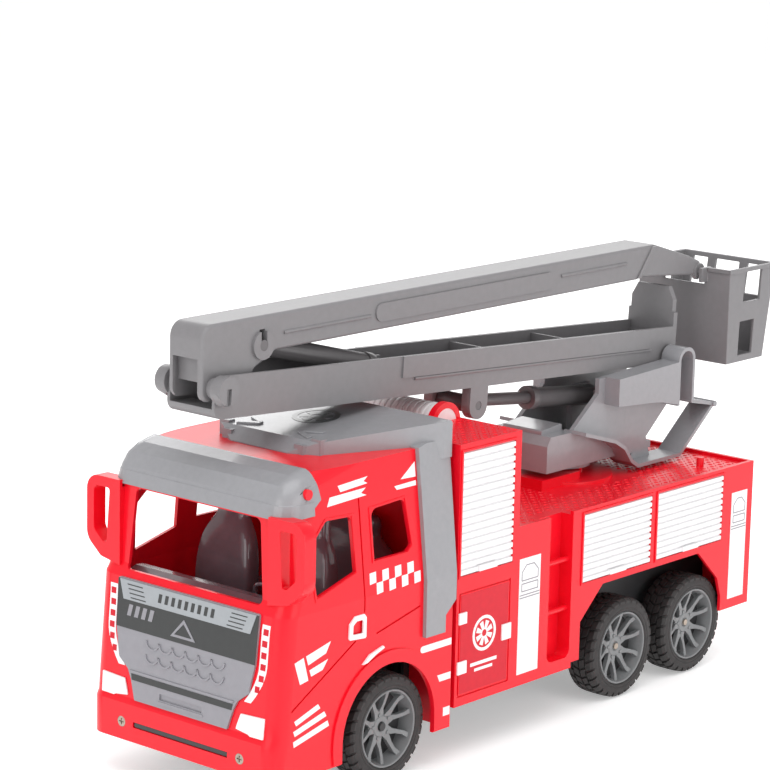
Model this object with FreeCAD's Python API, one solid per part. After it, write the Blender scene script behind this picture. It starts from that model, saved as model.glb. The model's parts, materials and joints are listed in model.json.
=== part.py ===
import FreeCAD, Part
import math
import os
from FreeCAD import Vector

os.makedirs("parts", exist_ok=True)

# Toy fire engine, millimetres. +X is forward, +Y is the left side, +Z is up.
# Stations along X are measured from a datum amidships. The exported parts are
# shifted so that the origin lies on the ground below the middle of the box.

# ---- driving dimensions -------------------------------------------------
nose_x = 167.5          # foremost face of the bumper
tail_x = -240.5         # rearmost edge of the basket rim
origin_x = (nose_x + tail_x) / 2

half_width = 56.9       # body sides
wall = 1.6              # moulded wall thickness

wheel_r = 25.0
rim_r = 18.0
tyre_width = 17.0
tyre_face_y = 54.3      # outer face of every tyre
front_axle_x = 90.0
mid_axle_x = -83.8
rear_axle_x = -141.9
shaft_r = 1.5
bearing_gap = 0.07      # radial running clearance of shafts

cab_rear_x = 51.0
cab_bottom_z = 17.4
cab_roof_z = 149.3
roof_half = 50.2
belt_z = 90.3           # above this height the cab sides lean inwards

tower_front_x = 48.3
tower_rear_x = 4.3
tower_top_z = 148.3
body_bottom_z = 25.5
rear_bottom_z = 28.2
rear_front_x = -38.5
body_rear_x = -186.5
deck_z = 100.8
deck_lip = 1.8

king_y = 33.0           # steering pivots
king_r = 2.0
steer_arm = 14.0        # pivot to tie rod
tub_half = 33.0
tub_front_half = 24.0
tub_floor_z = 20.0
tub_floor = 2.5
tub_top_z = 58.0

gear_module = 0.6
axle_teeth = 20
idler_teeth = 24
pinion_teeth = 8
gear_half_width = 3.0
idler_angle = 50.0      # direction from axle gear to idler
pinion_angle = 27.5     # direction from idler to pinion

turret_x = -98.0        # turntable axis
stem_r = 8.0
hinge_x = -167.0        # lower boom hinge on the turret
hinge_z = 152.5
boom_tilt = 3.65        # slope of the stowed lower boom, degrees
boom_half = 14.2
jib_half = 10.0
elbow_x = 158.5
elbow_z = 183.0
jib_low_z = 194.3
jib_top_z = 210.8
jib_clip_x = 128.7
jib_clip_z = 197.8
jib_anchor_x = 36.0
jib_anchor_z = 173.5
lift_eye_x = -16.0
lift_eye_z = 149.8
lift_anchor_x = -124.0
lift_anchor_z = 137.2
pivot_r = 2.4

basket_front_x = -199.4
basket_rear_low_x = -232.0
basket_low_z = 146.0
basket_top_z = 195.0
basket_half = 28.6
basket_pin_x = -197.6
basket_pin_z = 192.6
basket_pin_r = 1.8


# ---- drawing helpers ----------------------------------------------------
def corner_arc(before, corner, after, radius):
    """Tangent points and middle point of the arc that rounds one corner."""
    to_before = (before - corner).normalize()
    to_after = (after - corner).normalize()
    half_angle = to_before.getAngle(to_after) / 2
    reach = radius / math.tan(half_angle)
    bisector = (to_before + to_after).normalize()
    middle = corner + bisector * (radius / math.sin(half_angle) - radius)
    return corner + to_before * reach, middle, corner + to_after * reach


def outline(points, place):
    """Closed face through (u, v) or (u, v, radius) corners."""
    corners = [place(point[0], point[1]) for point in points]
    count = len(points)
    entries, exits, arcs = [], [], []
    for index, point in enumerate(points):
        corner = corners[index]
        radius = point[2] if len(point) > 2 else 0
        if radius:
            start, middle, end = corner_arc(corners[index - 1], corner, corners[(index + 1) % count],
                                            radius)
            arcs.append(Part.Arc(start, middle, end).toShape())
            entries.append(start)
            exits.append(end)
        else:
            arcs.append(None)
            entries.append(corner)
            exits.append(corner)
    edges = []
    for index in range(count):
        if arcs[index]:
            edges.append(arcs[index])
        following = entries[(index + 1) % count]
        if exits[index].distanceToPoint(following) > 1e-6:
            edges.append(Part.LineSegment(exits[index], following).toShape())
    return Part.Face(Part.Wire(edges))


def side_prism(points, y0, y1, offset=0.0):
    """Outline drawn in X and Z, extruded from y0 to y1."""
    face = outline(points, lambda u, v: Vector(u, y0, v))
    if offset:
        face = face.makeOffset2D(offset, 2)
    return face.extrude(Vector(0, y1 - y0, 0))


def front_prism(points, x0, x1, offset=0.0):
    """Outline drawn in Y and Z, extruded from x0 to x1."""
    face = outline(points, lambda u, v: Vector(x0, u, v))
    if offset:
        face = face.makeOffset2D(offset, 2)
    return face.extrude(Vector(x1 - x0, 0, 0))


def plan_prism(points, z0, z1):
    """Outline drawn in X and Y, extruded from z0 to z1."""
    face = outline(points, lambda u, v: Vector(u, v, z0))
    return face.extrude(Vector(0, 0, z1 - z0))


def box(x0, x1, y0, y1, z0, z1):
    return Part.makeBox(x1 - x0, y1 - y0, z1 - z0, Vector(x0, y0, z0))


def cyl_y(x, z, radius, y0, y1):
    return Part.makeCylinder(radius, y1 - y0, Vector(x, y0, z), Vector(0, 1, 0))


def cyl_x(y, z, radius, x0, x1):
    return Part.makeCylinder(radius, x1 - x0, Vector(x0, y, z), Vector(1, 0, 0))


def cyl_z(x, y, radius, z0, z1):
    return Part.makeCylinder(radius, z1 - z0, Vector(x, y, z0))


def mirrored(points):
    """Closed symmetric outline from its +Y half, listed from bottom to top."""
    other_half = [(-point[0],) + tuple(point[1:]) for point in reversed(points)]
    return list(points) + other_half


def flipped(shape):
    """The same part on the other side of the vehicle."""
    return shape.mirror(Vector(0, 0, 0), Vector(0, 1, 0))


def both_sides(shape):
    return shape.fuse(flipped(shape))


def fuse_all(shapes):
    return shapes[0].multiFuse(shapes[1:]).removeSplitter()


def strip(path, thickness, y0, y1):
    """Bent sheet: a path in X and Z with a constant thickness."""
    pieces = []
    for (x0, z0), (x1, z1) in zip(path, path[1:]):
        length = math.hypot(x1 - x0, z1 - z0)
        side_x = -(z1 - z0) / length * thickness / 2
        side_z = (x1 - x0) / length * thickness / 2
        corners = [
            (x0 + side_x, z0 + side_z),
            (x1 + side_x, z1 + side_z),
            (x1 - side_x, z1 - side_z),
            (x0 - side_x, z0 - side_z),
        ]
        pieces.append(side_prism(corners, y0, y1))
        pieces.append(cyl_y(x1, z1, thickness / 2, y0, y1))
    return fuse_all(pieces)


def turned(shape, x, z, degrees):
    """Rotate about a cross-wise axis; positive lifts the front end."""
    result = shape.copy()
    result.rotate(Vector(x, 0, z), Vector(0, -1, 0), degrees)
    return result


# ---- cab ----------------------------------------------------------------
def cab_block(outset, low=cab_bottom_z):
    """Outer form of the cab, grown or shrunk by outset."""
    roof_z = cab_roof_z + outset
    side = [
        (cab_rear_x - outset, low),
        (cab_rear_x - outset, roof_z),
        (139.5 + outset * 0.2, roof_z),
        (146.6 + outset * 0.4, cab_roof_z - 1.7 + outset * 0.9),
        (152.2 + outset * 0.75, 144.4 + outset * 0.65),
        (155.6 + outset * 0.95, 139.0 + outset * 0.35),
        (157.3 + outset, 132.8),
        (159.0 + outset, 96.0),
        (161.8 + outset, 90.3),
        (165.2 + outset, 50.0),
        (166.2 + outset, 37.0),
        (nose_x + outset, 34.5),
        (nose_x + outset, low),
    ]
    front = mirrored([
        (half_width + outset, low),
        (half_width + outset, belt_z),
        (roof_half + outset, roof_z),
    ])
    profile = side_prism(side, -70.0, 70.0)
    section = front_prism(front, 20.0, 200.0)
    block = profile.common(section)
    corners = [edge for edge in block.Edges if front_corner(edge)]
    return block.makeFillet(8.0 + outset, corners)


def front_corner(edge):
    """True for the upright edges between the cab front and its sides."""
    low, high = edge.Vertexes[0].Point, edge.Vertexes[-1].Point
    upright = abs(low.z - high.z) > 0.5
    return upright and min(low.x, high.x) > 130.0 and min(abs(low.y), abs(high.y)) > 45.0


def cab_skin(thickness):
    """Layer lying on the outside of the cab."""
    return cab_block(thickness).cut(cab_block(0.0))


arch_x = 94.0
arch_z = 26.0
arch_r = 31.0
windscreen = mirrored([(41.0, 93.5, 2.0), (37.6, 130.6, 3.0)])
door_window = [(116.3, 102.5), (117.0, 127.0, 2.0), (133.0, 127.8, 4.0), (143.6, 118.0, 3.0),
               (141.6, 96.0, 1.0)]
rear_window = [(103.6, 105.2), (103.8, 127.8, 4.0), (81.6, 128.8, 3.0), (78.6, 107.6, 2.0), (82.0, 105.2)]
door_seams = [
    [(111.2, 134.0), (111.2, 84.0)],
    [(116.5, 72.0), (157.0, 49.0)],
    [(157.0, 94.0), (157.0, 49.0)],
    [(103.0, 72.5), (74.0, 79.0)],
]


def fender_ring(outset):
    ring = cyl_y(arch_x, arch_z, arch_r + 6.0, -70, 70).cut(cyl_y(arch_x, arch_z, arch_r, -71, 71))
    return cab_skin(outset).common(ring).common(box(50, 140, -70, 70, 18.0, 70))


def cab_shell():
    shell = cab_block(0.0).cut(cab_block(-wall, cab_bottom_z - 20.0))
    shell = shell.fuse(fender_ring(0.9))
    shell = shell.cut(front_prism(windscreen, 145, 175))
    for window in (door_window, rear_window):
        shell = shell.cut(side_prism(window, -70, 70))
    shell = shell.cut(cyl_y(arch_x, arch_z, arch_r, -70, 70))
    shell = shell.cut(box(arch_x - arch_r, arch_x + arch_r, -70, 70, 0, arch_z))
    surface = cab_block(0.0).cut(cab_block(-0.7))
    for path in door_seams:
        shell = shell.cut(surface.common(strip(path, 0.9, -70, 70)))
    shell = shell.cut(surface.common(box(112.0, 120.0, -70, 70, 74.2, 81.6)))
    shell = shell.cut(front_prism(mirrored([(29.0, 24.3), (29.0, 26.9)]), 160, 175))
    shell = shell.cut(tub_passage(cab_rear_x - 3.0, cab_rear_x + 4.0))
    for side in (-1, 1):
        post = cyl_z(cab_post_x, side * cab_post_y, 3.6, 20.5, 60.0)
        rib = box(cab_post_x, 163.8, side * cab_post_y - 0.8, side * cab_post_y + 0.8, 30.0, 60.0)
        shell = shell.fuse(post.fuse(rib))
        shell = shell.cut(cyl_z(cab_post_x, side * cab_post_y, 1.3, 20.0, 31.0))
        shell = shell.cut(cyl_x(side * bumper_screw_y, bumper_screw_z, 1.4, 150, 175))
        shell = shell.cut(cyl_x(side * bumper_screw_y, bumper_screw_z, 2.5, nose_x - 0.9, 175))
    shell = shell.fuse(both_sides(cyl_y(144.7, 141.5, 2.3, 50.0, 53.6)))
    return shell.removeSplitter()


def tub_passage(x0, x1):
    """Cutter that lets the chassis tub run through an upright wall."""
    half = tub_half + 0.3
    return box(x0, x1, -half, half, 0.0, tub_top_z + 0.4)


cab_post_x = 145.0
cab_post_y = 40.0
bumper_screw_y = 36.3
bumper_screw_z = 25.6


def sun_visor():
    region = [(138.4, 153.0), (138.4, 147.0), (136.2, 138.0), (145.0, 131.9), (165.0, 132.4),
              (165.0, 153.0)]
    visor = cab_skin(1.4).common(side_prism(region, -70, 70))
    return visor.cut(both_sides(cyl_y(144.7, 141.5, 2.3, 50.0, 53.6)))


def roof_fairing():
    plan = [(cab_rear_x, -54.0), (cab_rear_x, 54.0), (56.0, 54.0, 3.0), (112.6, 29.7), (119.6, 17.0)]
    plan += [(119.6, -17.0), (112.6, -29.7), (56.0, -54.0, 3.0)]
    side = [(cab_rear_x, 143.0), (cab_rear_x, 160.2, 2.0), (112.6, 155.0), (120.0, 149.5), (120.0, 143.0)]
    top = plan_prism(plan, 143.0, 165.0).common(side_prism(side, -70, 70))
    hollow_plan = [(52.8, -51.0), (52.8, 51.0), (56.0, 51.0), (110.0, 28.0), (110.0, -28.0), (56.0, -51.0)]
    hollow_side = [(52.8, 143.0), (52.8, 158.2), (110.0, 153.2), (110.0, 143.0)]
    hollow = plan_prism(hollow_plan, 143.0, 165.0).common(side_prism(hollow_side, -70, 70))
    pillar = [(71.5, 64.0), (72.0, 150.0), (cab_rear_x, 155.0), (cab_rear_x, 78.0), (58.0, 72.0),
              (58.0, 64.0)]
    legs = cab_skin(2.0).common(side_prism(pillar, -70, 70))
    fairing = top.cut(hollow).fuse(legs).cut(cab_block(0.0))
    lug = box(108.5, 112.6, 25.0, 30.6, 149.0, 156.2)
    inner_lug = box(113.0, 117.2, 19.0, 24.5, 149.0, 153.6)
    lugs = both_sides(lug.fuse(inner_lug)).cut(cab_block(0.0))
    return fairing.fuse(lugs).removeSplitter()


def grille_panel():
    border = mirrored([(28.4, 37.1), (31.2, 46.0), (33.5, 50.5), (39.5, 55.0, 3.0), (42.2, 68.0),
                       (42.9, 90.4, 1.0)])
    panel = cab_skin(1.2).common(front_prism(border, 150, 175))
    slot = front_prism(mirrored([(13.0, 40.6), (13.0, 43.4)]), 166.3, 175)
    return panel.cut(slot)


def headlamp(side):
    lens = [(36.4, 48.4), (49.6, 48.4, 1.5), (49.2, 35.6, 1.5), (38.0, 35.6, 1.0)]
    placed = [(side * corner[0],) + corner[1:] for corner in lens]
    return cab_skin(1.0).common(front_prism(placed, 150, nose_x))


def mirror(side):
    """Rounded frame on a broad arm, with an open middle."""
    frame = [(40.0, 133.2), (66.0, 133.2, 7.0), (66.0, 104.0, 8.0), (57.0, 96.6, 3.0), (45.0, 94.5)]
    opening = [(51.4, 128.6, 1.5), (61.6, 128.6, 3.0), (61.6, 108.4, 4.0), (56.0, 103.4, 1.5),
               (53.4, 103.4, 1.0)]
    shape = front_prism(frame, 153.4, 160.6).cut(front_prism(opening, 150, 165)).cut(cab_block(0.0))
    shape = shape.cut(cab_block(1.6).common(box(130, 170, 0, 70, 130.0, 150)))
    shape = shape.common(box(150, 165, 45, 67, 90, 135))
    solids = sorted(shape.Solids, key=lambda solid: solid.Volume)
    shape = solids[-1]
    return shape if side > 0 else flipped(shape)


def seat(x, y, width, top_z):
    """One seat: cushion, reclined back with side bolsters and a headrest."""
    half = width / 2
    cushion = box(x, x + 24.0, y - half, y + half, 62.0, 78.0)
    neck_z = top_z - 11.0
    rest = [(x - 7.0, 62.0), (x + 1.0, 62.0), (x - 3.0, neck_z, 2.0), (x - 10.0, neck_z, 2.0)]
    back = side_prism(rest, y - half, y + half)
    head = [(x - 10.5, neck_z - 1.0), (x - 3.0, neck_z - 1.0), (x - 4.5, top_z, 2.0),
            (x - 11.5, top_z, 2.0)]
    headrest = side_prism(head, y - half * 0.55, y + half * 0.55)
    bolster = [(x - 5.0, 66.0), (x + 4.0, 66.0), (x + 1.0, neck_z - 5.0), (x - 6.0, neck_z - 5.0)]
    bolsters = []
    for side in (-1, 1):
        edge_y = y + side * (half - 2.5)
        bolsters.append(side_prism(bolster, edge_y - 2.5, edge_y + 2.5))
    return fuse_all([cushion, back, headrest] + bolsters)


def cab_interior():
    tray = box(56.0, 154.0, -49.0, 49.0, 60.0, 62.0)
    dash = side_prism([(140.0, 62.0), (140.0, 88.0, 3.0), (146.0, 93.0, 2.0), (155.6, 91.5),
                       (155.6, 62.0)], -46.0, 46.0)
    seats = [seat(116.0, side * 24.0, 34.0, 124.0) for side in (-1, 1)]
    bench_back = side_prism([(60.0, 62.0), (68.0, 62.0), (65.0, 112.0, 2.0), (58.5, 112.0, 2.0)], -40.0,
                            40.0)
    bench = box(66.0, 84.0, -40.0, 40.0, 62.0, 78.0)
    console = box(116.0, 141.0, -5.0, 5.0, 61.0, 76.0)
    return fuse_all([tray, dash, bench_back, bench, console] + seats)


# ---- rear body ----------------------------------------------------------
rear_arch = [(-162.0, 20.0), (-162.0, 36.0), (-158.4, 46.2), (-141.0, 62.4), (-62.0, 62.4), (-44.8, 46.8),
             (-44.8, 20.0)]
body_posts = [(30.0, 40.0), (-30.0, 40.0), (-176.0, 40.0)]
shutter_windows = {
    "tower": (9.2, 46.5, 87.0, 145.0, 17),
    "mid": (-99.1, -45.0, 65.9, 100.0, 11),
    "rear": (-159.6, -104.3, 65.9, 100.0, 11),
}
shutter_recess = 0.9


def body_shell():
    outer = fuse_all([
        box(tower_rear_x, tower_front_x, -half_width, half_width, body_bottom_z, tower_top_z),
        box(rear_front_x, tower_rear_x, -half_width, half_width, body_bottom_z, deck_z),
        box(body_rear_x, rear_front_x, -half_width, half_width, rear_bottom_z, deck_z),
    ])
    inner_half = half_width - wall
    inner = box(tower_rear_x + wall, tower_front_x - wall, -inner_half, inner_half, 0, tower_top_z - wall)
    inner = inner.fuse(box(body_rear_x + wall, tower_front_x - wall, -inner_half, inner_half, 0,
                           deck_z - 2.0))
    shell = outer.cut(inner)
    shell = shell.fuse(deck_border())
    shell = shell.fuse(both_sides(ladder_well_block())).cut(both_sides(ladder_well()))
    shell = shell.fuse(both_sides(ladder_rungs()))
    shell = shell.cut(side_prism(rear_arch, -70, 70))
    shell = shell.cut(tub_passage(tower_front_x - 3.0, tower_front_x + 1.0))
    shell = shell.fuse(turntable_plinth())
    shell = shell.fuse(cyl_z(-162.5, 40.6, 1.9, deck_z - 0.5, deck_z + 4.6))
    for x, y in body_posts:
        low = rear_bottom_z + 2.3 if x < rear_front_x else body_bottom_z + 2.5
        post = both_sides(cyl_z(x, y, 3.6, low, deck_z - 1.0))
        shell = shell.fuse(post)
        if x > tower_rear_x:
            shell = shell.fuse(both_sides(box(x - 0.8, x + 0.8, y, half_width - 1.0, low + 14.0,
                                              low + 50.0)))
        shell = shell.cut(both_sides(cyl_z(x, y, 1.3, low - 1.0, low + 11.0)))
    shell = shell.cut(cyl_z(turret_x, 0, stem_r + bearing_gap, 90, 115))
    for x0, x1, z0, z1, _slats in shutter_windows.values():
        recess = box(x0, x1, half_width - shutter_recess, 70, z0, z1)
        shell = shell.cut(both_sides(recess))
    shell = shell.cut(both_sides(side_door_lines()))
    return shell.removeSplitter()


def deck_border():
    """Raised rim around the working deck."""
    rim = box(body_rear_x, tower_rear_x, -half_width, half_width, deck_z, deck_z + deck_lip)
    field = box(body_rear_x + 2.0, tower_rear_x + 1, -half_width + 2.0, half_width - 2.0, deck_z - 1,
                deck_z + 5)
    return rim.cut(field)


def ladder_well_block():
    return box(rear_front_x, -18.0, 47.5, half_width, 29.0, deck_z)


def ladder_well():
    rear_x, front_x, low = rear_front_x + wall, -19.6, 31.5
    profile = [(rear_x, low, 4.0), (rear_x, 120.0), (front_x, 120.0), (front_x, low, 4.0)]
    return side_prism(profile, 49.5, 70.0)


def ladder_rungs():
    rungs = [cyl_x(53.6, z, 1.3, rear_front_x + 1.0, -19.0) for z in (55.0, 79.0)]
    return rungs[0].fuse(rungs[1])


def turntable_plinth():
    block = plan_prism(mirrored_plan([(-62.0, 18.0), (-92.0, 18.0), (-99.0, 12.0)]), deck_z - 0.5,
                       deck_z + 5.2)
    disc = cyl_z(turret_x, 0, 27.0, deck_z - 0.5, deck_z + 1.6)
    bearing = cyl_z(turret_x, 0, 12.0, deck_z - 6.0, deck_z + 5.2)
    return fuse_all([block, disc, bearing])


def mirrored_plan(half):
    """Closed outline in X and Y from its +Y half."""
    return list(half) + [(x, -y) for x, y in reversed(half)]


def side_door_lines():
    """Engraved outline of the locker door under the tower shutter."""
    x0, x1, z0, z1 = 9.8, 46.0, 30.2, 78.8
    path = [(x0, z0), (x1, z0), (x1, z1), (x0, z1), (x0, z0)]
    return strip(path, 0.9, half_width - 0.6, half_width + 1.0)


def shutter(name, side):
    """Roller shutter panel with overlapping slats and a pull handle."""
    x0, x1, z0, z1, slats = shutter_windows[name]
    gap = 0.05
    back = half_width - shutter_recess
    pitch = (z1 - z0 - 2 * gap) / slats
    points = [(back, z0 + gap)]
    for index in range(slats):
        low = z0 + gap + index * pitch
        points.append((half_width + 0.5, low + 0.25))
        points.append((half_width + 0.5, low + pitch * 0.72))
        points.append((half_width - 0.45, low + pitch * 0.80))
        points.append((half_width - 0.45, low + pitch + (0.25 if index < slats - 1 else 0.0)))
    points.append((back, z1 - gap))
    panel = front_prism(points, x0 + gap, x1 - gap)
    middle = (x0 + x1) / 2
    handle = box(middle - 6.5, middle + 6.5, half_width - 0.6, half_width + 1.6, z0 + 0.5, z0 + pitch * 0.9)
    panel = panel.fuse(handle).removeSplitter()
    return panel if side > 0 else flipped(panel)


def hose_roll():
    """Half-round roll of hose lying across the tower roof, with raised turns."""
    x, z, radius = 15.5, tower_top_z - 1.6, 9.4
    roll = cyl_y(x, z, radius - 0.5, -50.0, 17.6)
    turns = 20
    spacing = 67.0 / turns
    for index in range(turns):
        y = -49.7 + index * spacing
        roll = roll.fuse(cyl_y(x, z, radius - 0.1, y, y + spacing * 0.66))
    cap = cyl_y(x, z, radius + 1.0, 17.6, 20.6)
    far_cap = cyl_y(x, z, radius + 1.0, -53.0, -50.0)
    roll = fuse_all([roll, cap, far_cap])
    return roll.cut(box(-10, 40, -60, 60, 100, tower_top_z))


# ---- chassis and running gear -------------------------------------------
gear_x = rear_axle_x
gear_z = wheel_r


def gear_centres():
    """Centres of the idler and pinion of the drive train."""
    first = gear_module * (axle_teeth + idler_teeth) / 2
    second = gear_module * (idler_teeth + pinion_teeth) / 2
    idler_x = gear_x + first * math.cos(math.radians(idler_angle))
    idler_z = gear_z + first * math.sin(math.radians(idler_angle))
    pinion_x = idler_x + second * math.cos(math.radians(pinion_angle))
    pinion_z = idler_z + second * math.sin(math.radians(pinion_angle))
    return (idler_x, idler_z), (pinion_x, pinion_z)


idler_at, pinion_at = gear_centres()
box_x0, box_x1, box_half, box_z0, box_z1 = -150.5, -118.5, 8.5, 16.8, 47.5


def gear(x, z, teeth, phase, half):
    """Spur gear with trapezoid teeth; one tooth points at phase degrees."""
    pitch_r = gear_module * teeth / 2
    root_r = pitch_r - 1.15 * gear_module
    tip_r = pitch_r + 0.85 * gear_module
    body = cyl_y(x, z, root_r, -half, half)
    for index in range(teeth):
        angle = math.radians(phase + 360.0 * index / teeth)
        root_half = 0.50 * gear_module * math.pi / 2
        tip_half = 0.22 * gear_module * math.pi / 2
        ring = [(root_r - 0.4, -root_half), (tip_r, -tip_half), (tip_r, tip_half),
                (root_r - 0.4, root_half)]
        corners = [
            (x + r * math.cos(angle) - t * math.sin(angle), z + r * math.sin(angle) + t * math.cos(angle))
            for r, t in ring
        ]
        body = body.fuse(side_prism(corners, -half, half))
    return body.removeSplitter()


def axle_gear():
    wheel = gear(gear_x, gear_z, axle_teeth, idler_angle, gear_half_width)
    return wheel.cut(cyl_y(gear_x, gear_z, shaft_r, -20, 20))


def idler_gear():
    phase = idler_angle + 180.0 + 180.0 / idler_teeth
    wheel = gear(idler_at[0], idler_at[1], idler_teeth, phase, gear_half_width)
    return wheel.fuse(cyl_y(idler_at[0], idler_at[1], 1.2, -box_half + 0.1, box_half - 0.4))


def motor_pinion():
    phase = pinion_angle + 180.0 + 180.0 / pinion_teeth
    wheel = gear(pinion_at[0], pinion_at[1], pinion_teeth, phase, gear_half_width)
    return wheel.fuse(cyl_y(pinion_at[0], pinion_at[1], 1.0, 0.0, 20.0))


def gearbox_housing():
    shell = box(box_x0, box_x1, -box_half, box_half, box_z0, box_z1)
    shell = shell.cut(box(box_x0 + wall, box_x1 - wall, -box_half + wall, box_half - wall, box_z0 + 1.0,
                          box_z1 - wall))
    shell = shell.cut(cyl_y(gear_x, gear_z, shaft_r + bearing_gap, -20, 20))
    shell = shell.cut(cyl_y(idler_at[0], idler_at[1], 1.2 + bearing_gap, -20, 20))
    return shell.cut(cyl_y(pinion_at[0], pinion_at[1], 1.0 + bearing_gap, 0, 20))


def drive_motor():
    """Small can motor: flat-sided body, end cap and solder tags."""
    x, z = pinion_at
    flats = box(x - 11, x + 11, 0, 40, z - 7.7, z + 7.7)
    can = cyl_y(x, z, 10.0, box_half, box_half + 19.0).common(flats)
    cap = cyl_y(x, z, 5.0, box_half + 19.0, box_half + 21.0)
    tags = [box(x + tag - 1.2, x + tag + 1.2, box_half + 18.5, box_half + 21.0, z - 0.3,
                z + 0.3) for tag in (-7, 7)]
    motor = fuse_all([can, cap] + tags)
    return motor.cut(cyl_y(x, z, 1.0 + bearing_gap, 0, 22))


battery_x0 = -36.2
battery_length = 50.5
battery_r = 7.2
battery_z = tub_floor_z + tub_floor + battery_r + 0.2
battery_rows = (-22.5, -7.5, 7.5, 22.5)
door_x0, door_x1, door_half = -38.0, 16.4, 30.2
switch_x = 36.0


def chassis_plate():
    """Long tub with wheel-side walls, outer flanges, battery bay and bearings."""
    length = [body_rear_x + 3.5, 161.0]
    tub = box(length[0], 56.0, -tub_half, tub_half, tub_floor_z, tub_top_z)
    tub = tub.fuse(box(56.0, 125.5, -tub_front_half, tub_front_half, tub_floor_z, tub_top_z))
    tub = tub.fuse(box(125.5, length[1], -tub_half, tub_half, tub_floor_z, tub_top_z))
    floor_top = tub_floor_z + tub_floor
    tub = tub.cut(box(length[0] + wall, 57.0, -tub_half + wall, tub_half - wall, floor_top, 70))
    tub = tub.cut(box(50.0, 130.0, -tub_front_half + wall, tub_front_half - wall, floor_top, 70))
    tub = tub.cut(box(127.1, length[1] - wall, -tub_half + wall, tub_half - wall, floor_top, 70))
    flange_half = half_width - wall - 0.1
    flanges = [
        (tower_rear_x - 41.0, tower_front_x - wall - 0.1, body_bottom_z + 0.5),
        (body_rear_x + wall + 0.1, -168.5, rear_bottom_z + 0.3),
    ]
    for x0, x1, z in flanges:
        flange = box(x0, x1, -flange_half, flange_half, z, z + 2.0)
        tub = tub.fuse(flange.cut(box(-200, 60, -tub_half + 0.5, tub_half - 0.5, 0, 40)))
    tub = tub.fuse(box(127.0, length[1] - 6.0, -52.0, 52.0, 18.5, 20.5))
    tub = tub.fuse(box(front_axle_x - 8, front_axle_x + 8, -king_y - 5, king_y + 5, tub_floor_z, floor_top))
    tub = tub.cut(box(front_axle_x - 9.5, front_axle_x + 9.5, -40, 40, 31.0, 70).cut(
        box(0, 200, -tub_front_half + wall, tub_front_half - wall, 0, 100)))
    tie_x = front_axle_x - steer_arm
    tub = tub.cut(box(tie_x - 5.0, tie_x + 5.0, -40, 40, 29.0, 35.8))
    for side in (-1, 1):
        tub = tub.cut(cyl_z(front_axle_x, side * king_y, king_r + bearing_gap, 0, 30))
    for axle_x in (mid_axle_x, rear_axle_x):
        bosses = both_sides(cyl_y(axle_x, wheel_r, 4.0, tub_half - 3.0, tub_half))
        tub = tub.fuse(bosses).cut(cyl_y(axle_x, wheel_r, shaft_r + bearing_gap, -60, 60))
    tub = tub.cut(box(box_x0, box_x1, -box_half, box_half, 0, 30))
    for x in (door_x0 - wall, door_x1):
        tub = tub.fuse(box(x, x + wall, -tub_half + 1, tub_half - 1, floor_top - 0.5, 38.0))
    tub = tub.cut(box(door_x0, door_x1, -door_half, door_half, 0, floor_top))
    tub = tub.cut(box(switch_x - 4.5, switch_x + 4.5, -5.0, 5.0, 0, floor_top))
    for x in (25.0, 47.0):
        for y in (-21.0, 21.0):
            tub = tub.fuse(cyl_z(x, y, 2.2, floor_top - 0.5, 40.0))
    for x, y, _z in screw_places():
        tub = tub.cut(cyl_z(x, y, 1.3, 0, 40))
    return tub.removeSplitter()


def battery_door():
    gap = 0.25
    plate = box(door_x0 + gap, door_x1 - gap, -door_half + gap, door_half - gap, tub_floor_z,
                tub_floor_z + tub_floor)
    grip = [box(-30.0 + 3.0 * step, -28.6 + 3.0 * step, -10.0, 10.0, tub_floor_z,
                tub_floor_z + 0.6) for step in range(5)]
    for line in grip:
        plate = plate.cut(line)
    return plate.cut(cyl_z(10.0, 0, 1.3, 0, 40))


def screw_places():
    """Position and seat height of the screws that close the underside."""
    places = []
    for x, y in body_posts:
        seat_z = rear_bottom_z + 0.3 if x < rear_front_x else body_bottom_z + 0.5
        places += [(x, side * y, seat_z) for side in (-1, 1)]
    places += [(cab_post_x, side * cab_post_y, 18.5) for side in (-1, 1)]
    return places


def screw_up(x, y, seat_z, length):
    """Pan-head screw driven upwards, with a cross recess."""
    head = cyl_z(x, y, 3.0, seat_z - 1.6, seat_z)
    recess = box(x - 1.6, x + 1.6, y - 0.35, y + 0.35, seat_z - 1.7, seat_z - 0.9)
    recess = recess.fuse(box(x - 0.35, x + 0.35, y - 1.6, y + 1.6, seat_z - 1.7, seat_z - 0.9))
    return head.cut(recess).fuse(cyl_z(x, y, 1.3, seat_z, seat_z + length))


def chassis_screws():
    screws = [screw_up(x, y, z, 11.0) for x, y, z in screw_places()]
    screws.append(screw_up(10.0, 0.0, tub_floor_z, tub_floor))
    return Part.makeCompound(screws)


def bumper_screws():
    screws = []
    for side in (-1, 1):
        head = cyl_x(side * bumper_screw_y, bumper_screw_z, 2.4, nose_x - 0.9, nose_x - 0.02)
        shank = cyl_x(side * bumper_screw_y, bumper_screw_z, 1.35, nose_x - 9.0, nose_x - 0.9)
        recess = box(nose_x - 0.6, nose_x + 1, side * bumper_screw_y - 1.5, side * bumper_screw_y + 1.5,
                     bumper_screw_z - 0.3, bumper_screw_z + 0.3)
        recess = recess.fuse(box(nose_x - 0.6, nose_x + 1, side * bumper_screw_y - 0.3,
                                 side * bumper_screw_y + 0.3,
                                 bumper_screw_z - 1.5, bumper_screw_z + 1.5))
        screws.append(head.fuse(shank).cut(recess))
    return Part.makeCompound(screws)


def battery_cells():
    cells = []
    for index, y in enumerate(battery_rows):
        can = cyl_x(y, battery_z, battery_r, battery_x0, battery_x0 + battery_length - 1.2)
        cap = cyl_x(y, battery_z, 2.6, battery_x0 + battery_length - 1.2, battery_x0 + battery_length)
        cell = can.fuse(cap)
        if index % 2:
            cell = cell.mirror(Vector(battery_x0 + battery_length / 2, 0, 0), Vector(1, 0, 0))
        cells.append(cell)
    return Part.makeCompound(cells)


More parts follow.
